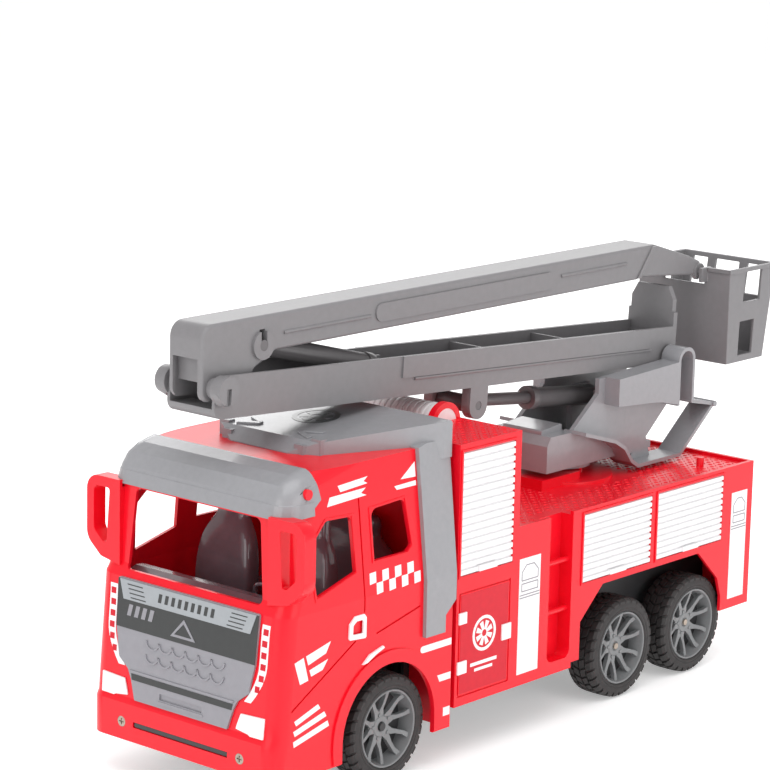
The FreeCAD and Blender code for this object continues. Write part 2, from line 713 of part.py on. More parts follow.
def battery_contacts():
    contacts = []
    for y in battery_rows:
        contacts.append(box(door_x0, battery_x0, y - 4.5, y + 4.5, battery_z - 4.5, battery_z + 4.5))
        end = battery_x0 + battery_length
        contacts.append(box(end, door_x1, y - 4.5, y + 4.5, battery_z - 4.5, battery_z + 4.5))
    return Part.makeCompound(contacts)


def receiver_board():
    board = box(22.0, 50.0, -25.0, 25.0, 40.0, 41.6)
    chips = [
        box(30.0, 38.0, -8.0, 4.0, 41.4, 43.6),
        box(26.0, 31.0, 10.0, 18.0, 41.4, 44.6),
        cyl_z(44.0, -14.0, 3.2, 41.4, 49.0),
        cyl_z(44.0, -5.0, 2.4, 41.4, 46.5),
        cyl_z(44.0, 14.0, 3.6, 41.4, 45.5),
        box(25.0, 28.5, -20.0, -10.0, 41.4, 45.0),
    ]
    return fuse_all([board] + chips)


def switch_body():
    case = box(switch_x - 6.0, switch_x + 6.0, -9.0, 9.0, tub_floor_z + tub_floor, 30.0)
    return case.cut(box(switch_x - 3.6, switch_x + 3.6, -6.0, 6.0, tub_floor_z, 27.0))


def power_switch():
    cap = box(switch_x - 3.3, switch_x + 3.3, -3.4, -0.4, 20.4, 26.5)
    ridge = [box(switch_x - 3.3, switch_x + 3.3, y, y + 0.5, 19.9, 20.5) for y in (-3.2, -2.15, -1.1)]
    return fuse_all([cap] + ridge)


def steering_bridge():
    bar = box(front_axle_x - 6, front_axle_x + 6, -king_y - 5, king_y + 5, 31.0, 33.4)
    legs = both_sides(box(front_axle_x - 6, front_axle_x + 6, 17.8, 22.2, 22.5, 31.0))
    bar = fuse_all([bar, legs])
    for side in (-1, 1):
        bar = bar.cut(cyl_z(front_axle_x, side * king_y, king_r + bearing_gap, 0, 60))
    return bar


def steering_coil():
    tie_x = front_axle_x - steer_arm
    coil = cyl_y(tie_x, 32.0, 7.0, -9.0, 9.0).cut(cyl_y(tie_x, 32.0, 6.0, -7.4, 7.4))
    coil = coil.fuse(cyl_y(tie_x, 32.0, 6.4, -7.6, 7.6))
    foot = box(tie_x - 6.0, tie_x + 6.0, -9.0, 9.0, tub_floor_z + tub_floor, 27.0)
    return coil.fuse(foot).cut(cyl_y(tie_x, 32.0, 3.7, -20, 20)).removeSplitter()


def knuckle(side):
    x, y = front_axle_x, king_y
    hub = cyl_z(x, y, 4.2, 22.8, 30.6)
    pin = cyl_z(x, y, king_r, 20.2, 33.2)
    stub = cyl_y(x, wheel_r, 1.9, y, 50.5)
    arm = plan_prism([(x, y - 2.6), (x, y + 2.6), (x - steer_arm, y + 0.5, 1.5),
                      (x - steer_arm - 2.4, y - 2.0, 1.0),
                      (x - steer_arm, y - 4.0, 1.0)], 27.4, 29.2)
    link_pin = cyl_z(x - steer_arm, y - 2.0, 1.4, 28.5, 34.2)
    shape = fuse_all([hub, pin, stub, arm, link_pin])
    return shape if side > 0 else flipped(shape)


def tie_rod():
    x = front_axle_x - steer_arm
    bar = box(x - 1.6, x + 1.6, -king_y - 0.4, king_y + 0.4, 30.6, 33.0)
    eyes = both_sides(box(x - 4.4, x + 4.4, king_y - 5.2, king_y + 1.2, 30.6, 33.0))
    magnet = cyl_y(x, 32.0, 3.2, -14.0, 14.0)
    rod = fuse_all([bar, magnet, eyes])
    for side in (-1, 1):
        y = side * (king_y - 2.0)
        slot = box(x - 1.2, x + 3.2, y - 1.8, y + 1.8, 0, 60)
        slot = slot.fuse(cyl_z(x - 0.6, y, 1.8, 0, 60))
        rod = rod.cut(slot)
    return rod.common(box(0, 200, -60, 60, 0, 33.4)).removeSplitter()


# ---- wheels -------------------------------------------------------------
def tyre(axle_x, side):
    """Tyre with rounded shoulders and blocky tread."""
    y0 = tyre_face_y - tyre_width
    shoulder = 2.6
    profile = [
        Vector(axle_x, y0, wheel_r + rim_r),
        Vector(axle_x, y0, wheel_r + wheel_r - shoulder),
        Vector(axle_x, y0 + shoulder * 0.8, wheel_r + wheel_r),
        Vector(axle_x, tyre_face_y - shoulder * 0.8, wheel_r + wheel_r),
        Vector(axle_x, tyre_face_y, wheel_r + wheel_r - shoulder),
        Vector(axle_x, tyre_face_y, wheel_r + rim_r),
    ]
    face = Part.Face(Part.makePolygon(profile + [profile[0]]))
    ring = face.revolve(Vector(axle_x, 0, wheel_r), Vector(0, 1, 0), 360)
    return ring if side > 0 else flipped(ring)


def rim(axle_x, side, bore_r, hub_y0):
    """Five double-spoke rim with a deep dish and lug recesses."""
    y0 = tyre_face_y - tyre_width
    face_y = tyre_face_y - 1.2
    ring = cyl_y(axle_x, wheel_r, rim_r, y0,
                 tyre_face_y).cut(cyl_y(axle_x, wheel_r, rim_r - 1.5, y0 - 1, tyre_face_y + 1))
    dish = cyl_y(axle_x, wheel_r, rim_r - 1.0, 45.0, 46.4)
    hub = cyl_y(axle_x, wheel_r, 5.6, 45.0, face_y - 1.0).fuse(cyl_y(axle_x, wheel_r, 3.2, hub_y0, face_y))
    parts = [ring, dish, hub]
    for spoke in range(5):
        for lean in (-1, 1):
            base = math.radians(90 + 72 * spoke + lean * 14.0)
            tip = math.radians(90 + 72 * spoke + lean * 12.0)
            parts.append(spoke_bar(axle_x, base, tip, face_y))
    wheel = fuse_all(parts)
    for spoke in range(5):
        angle = math.radians(90 + 72 * spoke)
        wheel = wheel.cut(cyl_y(axle_x + 4.1 * math.cos(angle), wheel_r + 4.1 * math.sin(angle), 0.8,
                                face_y - 2.4, 60))
    wheel = wheel.cut(cyl_y(axle_x, wheel_r, bore_r, 0, face_y - 1.6))
    return wheel if side > 0 else flipped(wheel)


def spoke_bar(axle_x, base, tip, face_y):
    """One spoke, thicker at the hub than at the rim."""
    start_r, end_r, half = 4.0, rim_r - 1.0, 1.15
    start = Vector(axle_x + start_r * math.cos(base), 0, wheel_r + start_r * math.sin(base))
    end = Vector(axle_x + end_r * math.cos(tip), 0, wheel_r + end_r * math.sin(tip))
    along = (end - start).normalize()
    across = Vector(-along.z, 0, along.x) * half
    corners = [start + across, end + across, end - across, start - across]
    return side_prism([(corner.x, corner.z) for corner in corners], face_y - 3.4, face_y - 0.6)


def axle_shaft(axle_x):
    return cyl_y(axle_x, wheel_r, shaft_r, -(tyre_face_y - 4.0), tyre_face_y - 4.0)


# ---- turret -------------------------------------------------------------
def hinge_cover():
    """Hollow ear that carries the lower boom hinge on the left side."""
    outer = [(-174.0, 130.0), (-174.0, 159.2, 6.5), (-160.0, 159.2, 6.5), (-160.0, 130.0)]
    inner = [(-172.2, 129.0), (-172.2, 157.4, 5.0), (-161.8, 157.4, 5.0), (-161.8, 129.0)]
    return side_prism(outer, 15.8, 27.0).cut(side_prism(inner, 17.8, 28.0))


def turret_side():
    """Left cheek, side box, step rail and hinge ear."""
    cheek = [(-84.0, 111.0), (-84.0, 126.8), (-105.0, 143.0), (-105.0, 150.6), (-165.0, 150.6),
             (-165.0, 131.0),
             (-146.0, 115.0), (-134.0, 108.0, 4.0), (-120.0, 111.0)]
    shield = [(-110.2, 137.0), (-110.2, 150.8), (-161.0, 152.6), (-161.0, 131.0), (-158.5, 131.0),
              (-146.0, 134.0), (-137.0, 135.0)]
    pocket = [(-112.0, 130.0), (-112.0, 149.0), (-159.0, 150.6), (-159.0, 125.0)]
    side_box = side_prism(shield, 16.0, 27.0).cut(side_prism(pocket, 18.2, 25.4))
    rail_path = [(-84.0, 127.0), (-109.0, 119.6), (-117.0, 115.0), (-123.0, 107.5), (-128.5, 104.2),
                 (-164.0, 104.2),
                 (-192.0, 126.6), (-173.0, 130.6)]
    rail = strip(rail_path, 1.8, 13.5, 27.0)
    lip = cyl_y(-192.0, 126.6, 1.5, 13.5, 28.0)
    web = side_prism([(-84.0, 111.0), (-84.0, 127.0), (-109.0, 119.6), (-117.0, 115.0), (-123.0, 109.0),
                      (-119.0, 110.0)],
                     15.8, 18.2)
    bridge = side_prism([(-146.0, 115.0), (-134.0, 108.0), (-134.0, 103.6), (-150.0, 103.6)], 15.8, 18.2)
    return fuse_all([side_prism(cheek, 15.8, 18.2), side_box, rail, lip, web, bridge, hinge_cover()])


def turret_frame():
    front = [(-65.0, 109.0), (-65.0, 122.4), (-67.6, 126.8), (-86.0, 126.8), (-86.0, 109.0)]
    block = side_prism(front, -18.2, 18.2)
    block = block.cut(box(-88.0, -67.4, -15.8, 15.8, 112.0, 125.0))
    saddle = side_prism([(-68.0, 126.0), (-68.0, 129.0, 1.0), (-84.0, 130.4, 1.0), (-84.0, 126.0)], -12.0,
                        12.0)
    floor = box(-150.0, -84.0, -18.2, 18.2, 109.0, 112.6)
    tail = box(-165.0, -146.0, -15.9, 15.9, 128.5, 131.0)
    cradle = both_sides(box(-131.0, -116.0, 6.5, 9.7, 112.0, 141.5))
    stem = cyl_z(turret_x, 0, stem_r, deck_z - 8.0, 110.0).fuse(cyl_z(turret_x, 0, 16.0, 106.6, 109.5))
    frame = fuse_all([block, saddle, floor, tail, both_sides(turret_side()), stem, cradle])
    frame = frame.cut(cyl_y(hinge_x, hinge_z, pivot_r + bearing_gap, -18.0, 18.0))
    return frame.cut(cyl_z(turret_x, 0, 1.3, 0, 108))


def turret_retainer():
    """Washer and screw that hold the turret stem under the deck."""
    low = deck_z - 8.0
    washer = cyl_z(turret_x, 0, 11.0, low - 1.6, low)
    head = cyl_z(turret_x, 0, 3.0, low - 3.2, low - 1.6)
    shank = cyl_z(turret_x, 0, 1.3, low - 1.6, low + 10.0)
    return fuse_all([washer, head, shank])


# ---- booms --------------------------------------------------------------
def to_boom(x, z):
    """World X and Z to the lower boom's own level frame, hinge kept in place."""
    tilt = math.radians(boom_tilt)
    dx, dz = x - hinge_x, z - hinge_z
    level_x = hinge_x + dx * math.cos(tilt) + dz * math.sin(tilt)
    level_z = hinge_z - dx * math.sin(tilt) + dz * math.cos(tilt)
    return level_x, level_z


def lower_boom():
    """Open-topped channel, drawn level and then turned to its stowed slope."""
    low, high = hinge_z - 3.3, hinge_z + 15.4
    rear, front = hinge_x - 6.5, hinge_x + 330.0
    elbow_u, elbow_w = to_boom(elbow_x, elbow_z)
    eye_u, eye_w = to_boom(lift_eye_x, lift_eye_z)
    anchor_u, anchor_w = to_boom(jib_anchor_x, jib_anchor_z)
    side = [(rear + 3.0, low, 2.0), (front, low, 5.0), (front, high, 5.0), (rear, high),
            (rear, low + 3.0, 2.0)]
    channel = side_prism(side, -boom_half, boom_half)
    channel = channel.cut(box(rear + 3.0, front - 14.0, -boom_half + wall, boom_half - wall, low + 2.0,
                              high + 1))
    channel = channel.cut(box(front - 15.0, front + 1, -boom_half + wall, boom_half - wall, low + 4.5,
                              high + 1))
    parts = [channel]
    for side_sign in (-1, 1):
        inner, outer = sorted((side_sign * (boom_half - 0.5), side_sign * (boom_half + 0.9)))
        parts.append(box(hinge_x + 17.0, hinge_x + 208.0, inner, outer, low + 8.8, high))
        parts.append(cyl_x(side_sign * (boom_half + 0.1), low + 7.9, 0.8, hinge_x + 15.0, hinge_x + 199.0))
        inner, outer = sorted((side_sign * (boom_half - 0.5), side_sign * 19.5))
        parts.append(cyl_y(elbow_u, elbow_w, 6.2, inner, outer))
        parts.append(elbow_fairing(side_sign, elbow_u, elbow_w))
        inner, outer = sorted((side_sign * 9.0, side_sign * boom_half))
        parts.append(cyl_y(eye_u, eye_w, 6.5, inner, outer))
        parts.append(box(eye_u - 6.5, eye_u + 6.5, inner, outer, eye_w, low + 1.0))
        inner, outer = sorted((side_sign * (boom_half - 0.5), side_sign * 17.6))
        parts.append(cyl_y(hinge_x, hinge_z, pivot_r, inner, outer))
        inner, outer = sorted((side_sign * 6.0, side_sign * 8.0))
        parts.append(box(anchor_u - 4.0, anchor_u + 4.0, inner, outer, low + 1.0, anchor_w + 4.5))
    for u in (hinge_x + 78.0, hinge_x + 141.0):
        parts.append(box(u, u + 1.6, -boom_half + 1.0, boom_half - 1.0, low + 1.0, high - 1.4))
    shoulder = boom_half - 1.3
    plate = mirrored([(boom_half, high - 3.0), (boom_half, high + 7.0), (shoulder, high + 7.0),
                      (shoulder, high + 13.5),
                      (9.4, high + 20.0)])
    parts.append(front_prism(plate, rear, rear + 3.2))
    boom = fuse_all(parts)
    boom = boom.cut(cyl_y(elbow_u, elbow_w, pivot_r + bearing_gap, -18.4, 18.4))
    boom = boom.cut(both_sides(box(elbow_u - 1.4, elbow_u + 1.4, 18.0, 20.0, elbow_w - 6.5, elbow_w + 1.0)))
    boom = boom.cut(cyl_y(eye_u, eye_w, 2.2, -15.0, 15.0))
    return turned(boom, hinge_x, hinge_z, boom_tilt)


def elbow_fairing(side_sign, elbow_u, elbow_w):
    """Tapered backing that runs from the elbow boss down the channel side."""
    body = Part.makeCone(3.4, 6.2, 5.4, Vector(elbow_u, side_sign * (boom_half - 0.2), elbow_w - 5.0),
                         Vector(0, side_sign, 1.1))
    inner, outer = sorted((side_sign * (boom_half - 0.3), side_sign * 19.4))
    keep = box(elbow_u - 8, elbow_u + 8, inner, outer, elbow_w - 10, elbow_w + 1)
    return body.common(keep)


def long_side_edge(edge, half):
    """True for the edges that bound the two side faces of a beam."""
    return abs(edge.BoundBox.YMax - edge.BoundBox.YMin) < 0.01 and abs(abs(edge.CenterOfMass.y) - half) < 0.01


def upper_boom():
    """Inverted channel with a deep head at the elbow and a tapered far end."""
    side = [(elbow_x + 7.3, elbow_z - 5.6, 5.0), (elbow_x + 7.3, jib_top_z, 7.0), (-158.5, jib_top_z, 1.0),
            (-190.0, 201.4, 2.0), (-199.5, 197.6, 2.0), (-200.0, 192.6), (-193.0, 191.2), (-148.0, 195.2),
            (-145.0, jib_low_z), (119.5, jib_low_z), (133.0, 188.0, 2.0), (138.0, 179.0, 3.0),
            (150.0, elbow_z - 6.6, 5.0)]
    beam = side_prism(side, -jib_half, jib_half)
    rounded = [edge for edge in beam.Edges if long_side_edge(edge,
                                                             jib_half) and edge.CenterOfMass.z > elbow_z]
    beam = beam.makeFillet(1.4, rounded)
    inner = [(elbow_x + 5.6, 170.0), (elbow_x + 5.6, jib_top_z - wall, 5.0),
             (-158.0, jib_top_z - wall, 1.0),
             (-190.0, 199.6), (-215.0, 192.0), (-215.0, 170.0)]
    beam = beam.cut(side_prism(inner, -jib_half + wall, jib_half - wall))
    beam = beam.cut(box(elbow_x + 5.0, elbow_x + 10.0, -7.4, 7.4, 170.0, elbow_z + 13.0))
    beam = beam.fuse(box(elbow_x + 1.5, elbow_x + 3.0, -9.0, 9.0, elbow_z + 2.0, elbow_z + 20.0))
    parts = [beam]
    panel = [(54.4, 198.2, 4.1), (54.4, 206.6, 4.1), (-75.6, 206.6, 4.1), (-75.6, 198.2, 4.1)]
    for side_sign in (-1, 1):
        inner_y, outer_y = sorted((side_sign * (jib_half - 0.4), side_sign * (jib_half + 0.8)))
        parts.append(side_prism(panel, inner_y, outer_y))
        rib_y = side_sign * jib_half
        parts.append(cyl_x(rib_y, 201.6, 0.8, 58.0, 115.0))
        parts.append(cyl_x(rib_y, 203.6, 0.8, -134.6, -82.0))
        inner_y, outer_y = sorted((side_sign * (jib_half - wall), side_sign * (jib_half + 1.4)))
        parts.append(cyl_y(jib_clip_x, jib_clip_z, 6.4, inner_y, outer_y))
        inner_y, outer_y = sorted((side_sign * (jib_half - wall), side_sign * (jib_half + 0.9)))
        parts.append(cyl_y(basket_pin_x, basket_pin_z, 4.3, inner_y, outer_y))
        inner_y, outer_y = sorted((side_sign * (jib_half - 0.5), side_sign * 18.2))
        parts.append(cyl_y(elbow_x, elbow_z, pivot_r, inner_y, outer_y))
        inner_y, outer_y = sorted((side_sign * (jib_half - 0.5), side_sign * 12.3))
        parts.append(cyl_y(elbow_x, elbow_z, 4.6, inner_y, outer_y))
    boom = fuse_all(parts)
    boom = boom.cut(cyl_y(jib_clip_x, jib_clip_z, pivot_r + bearing_gap, -20, 20))
    boom = boom.cut(box(jib_clip_x - 1.8, jib_clip_x + 1.8, -20, 20, jib_clip_z, jib_clip_z + 7.0))
    boom = boom.cut(cyl_y(basket_pin_x, basket_pin_z, basket_pin_r + bearing_gap, -20, 20))
    boom = boom.cut(box(basket_pin_x - 1.3, basket_pin_x + 1.3, -20, 20, basket_pin_z - 6.0, basket_pin_z))
    return boom.removeSplitter()


def along(start, end):
    """Unit direction and length between two (x, z) points."""
    vector = Vector(end[0] - start[0], 0, end[1] - start[1])
    return vector.normalize(), math.hypot(end[0] - start[0], end[1] - start[1])


def rod_between(start, direction, radius, first, last):
    return Part.makeCylinder(radius, last - first, start + direction * first, direction)


def lift_rod():
    """Piston rod with a cross pin held in the lugs under the lower boom."""
    start = Vector(lift_eye_x, 0, lift_eye_z)
    direction, _reach = along((lift_eye_x, lift_eye_z), (lift_anchor_x, lift_anchor_z))
    rod = rod_between(start, direction, 3.1, 0.0, 96.0)
    eye = cyl_y(lift_eye_x, lift_eye_z, 4.2, -8.6, 8.6)
    pin = cyl_y(lift_eye_x, lift_eye_z, 2.13, -14.0, 14.0)
    return fuse_all([rod, eye, pin])


def lift_barrel():
    """Cylinder barrel with a front gland and a rear knuckle."""
    start = Vector(lift_eye_x, 0, lift_eye_z)
    direction, reach = along((lift_eye_x, lift_eye_z), (lift_anchor_x, lift_anchor_z))
    barrel = rod_between(start, direction, 5.0, 56.0, reach - 2.0)
    gland = rod_between(start, direction, 5.8, 54.5, 59.5)
    knuckle_end = cyl_y(lift_anchor_x, lift_anchor_z, 4.2, -5.4, 5.4)
    shape = fuse_all([barrel, gland, knuckle_end])
    return shape.cut(rod_between(start, direction, 3.1 + bearing_gap, 50.0, reach - 6.0))


def jib_barrel():
    """Folding cylinder barrel, clipped to the upper boom by a cross pin."""
    start = Vector(jib_clip_x, 0, jib_clip_z)
    direction, reach = along((jib_clip_x, jib_clip_z), (jib_anchor_x, jib_anchor_z))
    barrel = rod_between(start, direction, 4.8, 2.0, reach - 12.0)
    gland = rod_between(start, direction, 5.5, reach - 16.0, reach - 11.0)
    eye = cyl_y(jib_clip_x, jib_clip_z, 4.6, -7.8, 7.8)
    pin = cyl_y(jib_clip_x, jib_clip_z, pivot_r, -jib_half - 1.3, jib_half + 1.3)
    shape = fuse_all([barrel, gland, eye, pin])
    return shape.cut(rod_between(start, direction, 3.0 + bearing_gap, 12.0, reach))


def jib_rod():
    start = Vector(jib_clip_x, 0, jib_clip_z)
    direction, reach = along((jib_clip_x, jib_clip_z), (jib_anchor_x, jib_anchor_z))
    rod = rod_between(start, direction, 3.0, 16.0, reach)
    return rod.fuse(cyl_y(jib_anchor_x, jib_anchor_z, 3.6, -5.2, 5.2))


def basket_shell_outline(inset):
    """Side profile of the basket; the rear wall leans outwards."""
    lean = inset * 1.02
    return [(basket_front_x - inset, basket_low_z + inset), (basket_front_x - inset, basket_top_z + inset),
            (tail_x + lean, basket_top_z + inset), (basket_rear_low_x + lean, basket_low_z + inset)]


def basket():
    """Open rescue basket with windowed walls and a hinge pin at its front rim."""
    outer = [(basket_front_x, basket_low_z), (basket_front_x, basket_top_z), (tail_x, basket_top_z),
             (basket_rear_low_x, basket_low_z)]
    shell = side_prism(outer, -basket_half, basket_half)
    shell = shell.cut(side_prism(basket_shell_outline(wall), -basket_half + wall, basket_half - wall))
    upper = [(-212.2, 177.0), (-213.6, 193.0), (-228.6, 193.0), (-227.2, 177.0)]
    lower = [(-209.4, 149.5), (-210.2, 167.2), (-223.0, 167.2), (-221.8, 149.5)]
    for window in (upper, lower):
        shell = shell.cut(side_prism(window, -40, 40))
    for y0, y1 in ((-22.0, -12.4), (-7.6, 7.6), (12.4, 22.0)):
        shell = shell.cut(box(-250, -225, y0, y1, 177.0, 192.6))
    notch = box(basket_front_x - 3.0, basket_front_x + 3.0, -12.6, 12.6, basket_pin_z - 6.5, 200.0)
    shell = shell.cut(notch)
    parts = [shell]
    for side in (-1, 1):
        y0, y1 = sorted((side * 12.6, side * 14.6))
        parts.append(box(basket_pin_x - 5.6, basket_pin_x + 3.2, y0, y1, basket_pin_z - 5.0, basket_top_z))
    parts.append(cyl_y(basket_pin_x, basket_pin_z, basket_pin_r, -13.0, 13.0))
    return fuse_all(parts)


# ---- assembly -----------------------------------------------------------
def wheel_nodes():
    nodes = {}
    for name, axle_x, bore_r, hub_y0 in (
        ("front", front_axle_x, 1.9 + bearing_gap, 40.5),
        ("mid", mid_axle_x, shaft_r, 34.0),
        ("rear", rear_axle_x, shaft_r, 34.0),
    ):
        for side_name, side in (("left", 1), ("right", -1)):
            nodes[name + "_rim_" + side_name] = rim(axle_x, side, bore_r, hub_y0)
            nodes[name + "_tyre_" + side_name] = tyre(axle_x, side)
    nodes["mid_axle_shaft"] = axle_shaft(mid_axle_x)
    nodes["rear_axle_shaft"] = axle_shaft(rear_axle_x)
    return nodes


def paired_nodes():
    nodes = {}
    for side_name, side in (("left", 1), ("right", -1)):
        nodes["headlamp_" + side_name] = headlamp(side)
        nodes["mirror_" + side_name] = mirror(side)
        nodes["knuckle_" + side_name] = knuckle(side)
        for name in shutter_windows:
            nodes[name + "_shutter_" + side_name] = shutter(name, side)
    return nodes


def single_nodes():
    builders = [
        cab_shell, roof_fairing, sun_visor, grille_panel, cab_interior, body_shell, hose_roll,
        chassis_plate, battery_door, battery_cells, battery_contacts, receiver_board, chassis_screws,
        bumper_screws, switch_body, power_switch, steering_bridge, steering_coil, tie_rod,
        gearbox_housing, drive_motor, motor_pinion, idler_gear, axle_gear,
        turret_frame, turret_retainer, lift_rod, lift_barrel, lower_boom, upper_boom,
        jib_barrel, jib_rod, basket,
    ]
    return {builder.__name__: builder() for builder in builders}


def main():
    nodes = {**single_nodes(), **paired_nodes(), **wheel_nodes()}
    for name, shape in sorted(nodes.items()):
        placed = shape.copy()
        placed.translate(Vector(-origin_x, 0, 0))
        placed.exportStep("parts/" + name + ".step")
        bounds = placed.BoundBox
        low = [round(value, 1) for value in (bounds.XMin, bounds.YMin, bounds.ZMin)]
        high = [round(value, 1) for value in (bounds.XMax, bounds.YMax, bounds.ZMax)]
        print(name, len(placed.Solids), placed.isValid(), round(placed.Volume), low, high)


main()
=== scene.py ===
import bpy
import bmesh
import json
import math
from mathutils import Matrix, Vector


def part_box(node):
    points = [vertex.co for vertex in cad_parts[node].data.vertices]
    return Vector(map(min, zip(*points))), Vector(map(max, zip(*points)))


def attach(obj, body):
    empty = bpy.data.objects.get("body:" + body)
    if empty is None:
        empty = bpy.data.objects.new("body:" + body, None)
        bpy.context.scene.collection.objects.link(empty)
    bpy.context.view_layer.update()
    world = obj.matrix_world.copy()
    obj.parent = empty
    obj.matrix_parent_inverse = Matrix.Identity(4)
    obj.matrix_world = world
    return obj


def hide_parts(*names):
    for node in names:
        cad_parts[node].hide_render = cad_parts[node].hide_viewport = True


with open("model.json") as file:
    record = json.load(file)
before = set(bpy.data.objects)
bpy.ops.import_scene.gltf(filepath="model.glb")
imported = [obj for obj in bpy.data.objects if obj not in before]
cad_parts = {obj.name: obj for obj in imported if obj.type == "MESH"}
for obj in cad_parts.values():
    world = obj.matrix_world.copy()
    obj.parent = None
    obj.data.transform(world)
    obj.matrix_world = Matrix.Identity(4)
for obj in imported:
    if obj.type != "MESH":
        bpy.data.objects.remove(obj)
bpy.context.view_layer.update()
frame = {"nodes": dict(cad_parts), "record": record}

# Everything below is laid out in millimetres from the rear wall of the cab shell,
# which stands 51 mm ahead of the datum amidships.
MM = 0.001
CAB_REAR = 51.0
DATUM_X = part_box("cab_shell")[0].x - CAB_REAR * MM
HALF_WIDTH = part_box("body_shell")[1].y / MM
DECK_Z = 100.8
TOWER_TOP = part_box("body_shell")[1].z / MM
WAIST_Z = 90.3
NOSE_X = 167.5
# Height and X of the corners of the cab's front profile.
FRONT_PROFILE = [
    (34.5, NOSE_X), (37.0, 166.2), (50.0, 165.2), (WAIST_Z, 161.8),
    (96.0, 159.0), (132.8, 157.3), (139.0, 155.6), (144.4, 152.2),
]
SPOKES = 5
SPOKE_PHASE = 5.0
TREAD_BLOCKS = 30
# Depth by which every raised plate is rooted in the surface below it.
ROOT = 0.05


def at(x, y, z):
    """A point given in millimetres from the datum, in the frame's metres."""
    return Vector((DATUM_X + x * MM, y * MM, z * MM))


def side_y(z):
    """Half width of the cab at a height: upright to the waist, leaning in above it."""
    return HALF_WIDTH if z <= WAIST_Z else HALF_WIDTH - (z - WAIST_Z) * 6.7 / 59.0


def front_x(z):
    """Front face of the cab shell at a height."""
    if z <= FRONT_PROFILE[0][0]:
        return NOSE_X
    for (z0, x0), (z1, x1) in zip(FRONT_PROFILE, FRONT_PROFILE[1:]):
        if z <= z1:
            return x0 + (x1 - x0) * (z - z0) / (z1 - z0)
    return FRONT_PROFILE[-1][1]


# ---- materials ------------------------------------------------------------
def surface(name, colour, rough, spread=0.03, grain=0.04, scale=300.0, metal=0.0, coat=0.0,
            grain_scale=1800.0, specular=0.5):
    """Moulded or plated finish: faint mottling, uneven gloss and a fine skin."""
    material = bpy.data.materials.new(name)
    material.use_nodes = True
    nodes = material.node_tree.nodes
    links = material.node_tree.links
    shader = nodes["Principled BSDF"]
    shader.inputs["Metallic"].default_value = metal
    shader.inputs["Coat Weight"].default_value = coat
    shader.inputs["Specular IOR Level"].default_value = specular
    shader.inputs["Coat Roughness"].default_value = 0.08
    place = nodes.new("ShaderNodeTexCoord")
    mottle = nodes.new("ShaderNodeTexNoise")
    mottle.inputs["Scale"].default_value = scale
    mottle.inputs["Detail"].default_value = 4.0
    links.new(place.outputs["Object"], mottle.inputs["Vector"])
    ramp = nodes.new("ShaderNodeValToRGB")
    ramp.color_ramp.elements[0].position = 0.3
    ramp.color_ramp.elements[1].position = 0.7
    for element, factor in zip(ramp.color_ramp.elements, (1.0 - spread, 1.0 + spread)):
        element.color = [min(1.0, channel * factor) for channel in colour] + [1.0]
    links.new(mottle.outputs["Fac"], ramp.inputs["Fac"])
    links.new(ramp.outputs["Color"], shader.inputs["Base Color"])
    gloss = nodes.new("ShaderNodeTexNoise")
    gloss.inputs["Scale"].default_value = 25.0
    gloss.inputs["Detail"].default_value = 2.0
    links.new(place.outputs["Object"], gloss.inputs["Vector"])
    spread_gloss = nodes.new("ShaderNodeMapRange")
    spread_gloss.inputs["To Min"].default_value = rough * 0.93
    spread_gloss.inputs["To Max"].default_value = rough * 1.08
    links.new(gloss.outputs["Fac"], spread_gloss.inputs["Value"])
    links.new(spread_gloss.outputs["Result"], shader.inputs["Roughness"])
    skin = nodes.new("ShaderNodeTexNoise")
    skin.inputs["Scale"].default_value = grain_scale
    skin.inputs["Detail"].default_value = 2.0
    links.new(place.outputs["Object"], skin.inputs["Vector"])
    bump = nodes.new("ShaderNodeBump")
    bump.inputs["Strength"].default_value = grain
    bump.inputs["Distance"].default_value = 0.0002
    links.new(skin.outputs["Fac"], bump.inputs["Height"])
    links.new(bump.outputs["Normal"], shader.inputs["Normal"])
    return material


def red_plastic():
    return surface("red_plastic", (0.82, 0.004, 0.017), 0.3, coat=0.12, spread=0.03, specular=0.3)


def deep_red_plastic():
    return surface("deep_red_plastic", (0.62, 0.005, 0.020), 0.36, spread=0.04, specular=0.3)


def grey_plastic():
    return surface("grey_plastic", (0.285, 0.285, 0.30), 0.26, coat=0.2)


def boom_grey():
    return surface("boom_grey", (0.205, 0.198, 0.205), 0.40, grain=0.06)


def cylinder_grey():
    # Painted shade: the cylinders are the same plastic as the boom, given a darker grey that stands in for
    # their shading.
    return surface("cylinder_grey", (0.125, 0.118, 0.122), 0.3)


def smoke_plastic():
    return surface("smoke_plastic", (0.15, 0.10, 0.115), 0.16, coat=0.5, spread=0.10, scale=120.0)


def tyre_rubber():
    return surface("tyre_rubber", (0.026, 0.023, 0.023), 0.62, grain=0.35, spread=0.2, grain_scale=2600.0)


def rim_grey():
    return surface("rim_grey", (0.20, 0.205, 0.21), 0.30, coat=0.1)


def white_plastic():
    return surface("white_plastic", (0.84, 0.83, 0.84), 0.34, spread=0.03)


# White print; also used for one painted highlight on the fender flare.
def white_print_and_highlight():
    return surface("white_print_and_highlight", (0.88, 0.86, 0.87), 0.42, spread=0.04, scale=900.0)


def black_print():
    return surface("black_print", (0.018, 0.020, 0.020), 0.3, coat=0.2, spread=0.1)


def banner_grey():
    return surface("banner_grey", (0.33, 0.35, 0.37), 0.35)


def trim_grey():
    return surface("trim_grey", (0.27, 0.265, 0.29), 0.36)


def black_plastic():
    return surface("black_plastic", (0.03, 0.03, 0.032), 0.45, grain=0.2)


def screw_steel():
    return surface("screw_steel", (0.42, 0.36, 0.30), 0.35, metal=1.0, spread=0.15, scale=900.0)


def bright_steel():
    return surface("bright_steel", (0.6, 0.6, 0.6), 0.3, metal=1.0, spread=0.1, scale=700.0)


def gear_nylon():
    return surface("gear_nylon", (0.78, 0.76, 0.70), 0.45)


def cell_jacket():
    return surface("cell_jacket", (0.10, 0.11, 0.13), 0.3, coat=0.3)


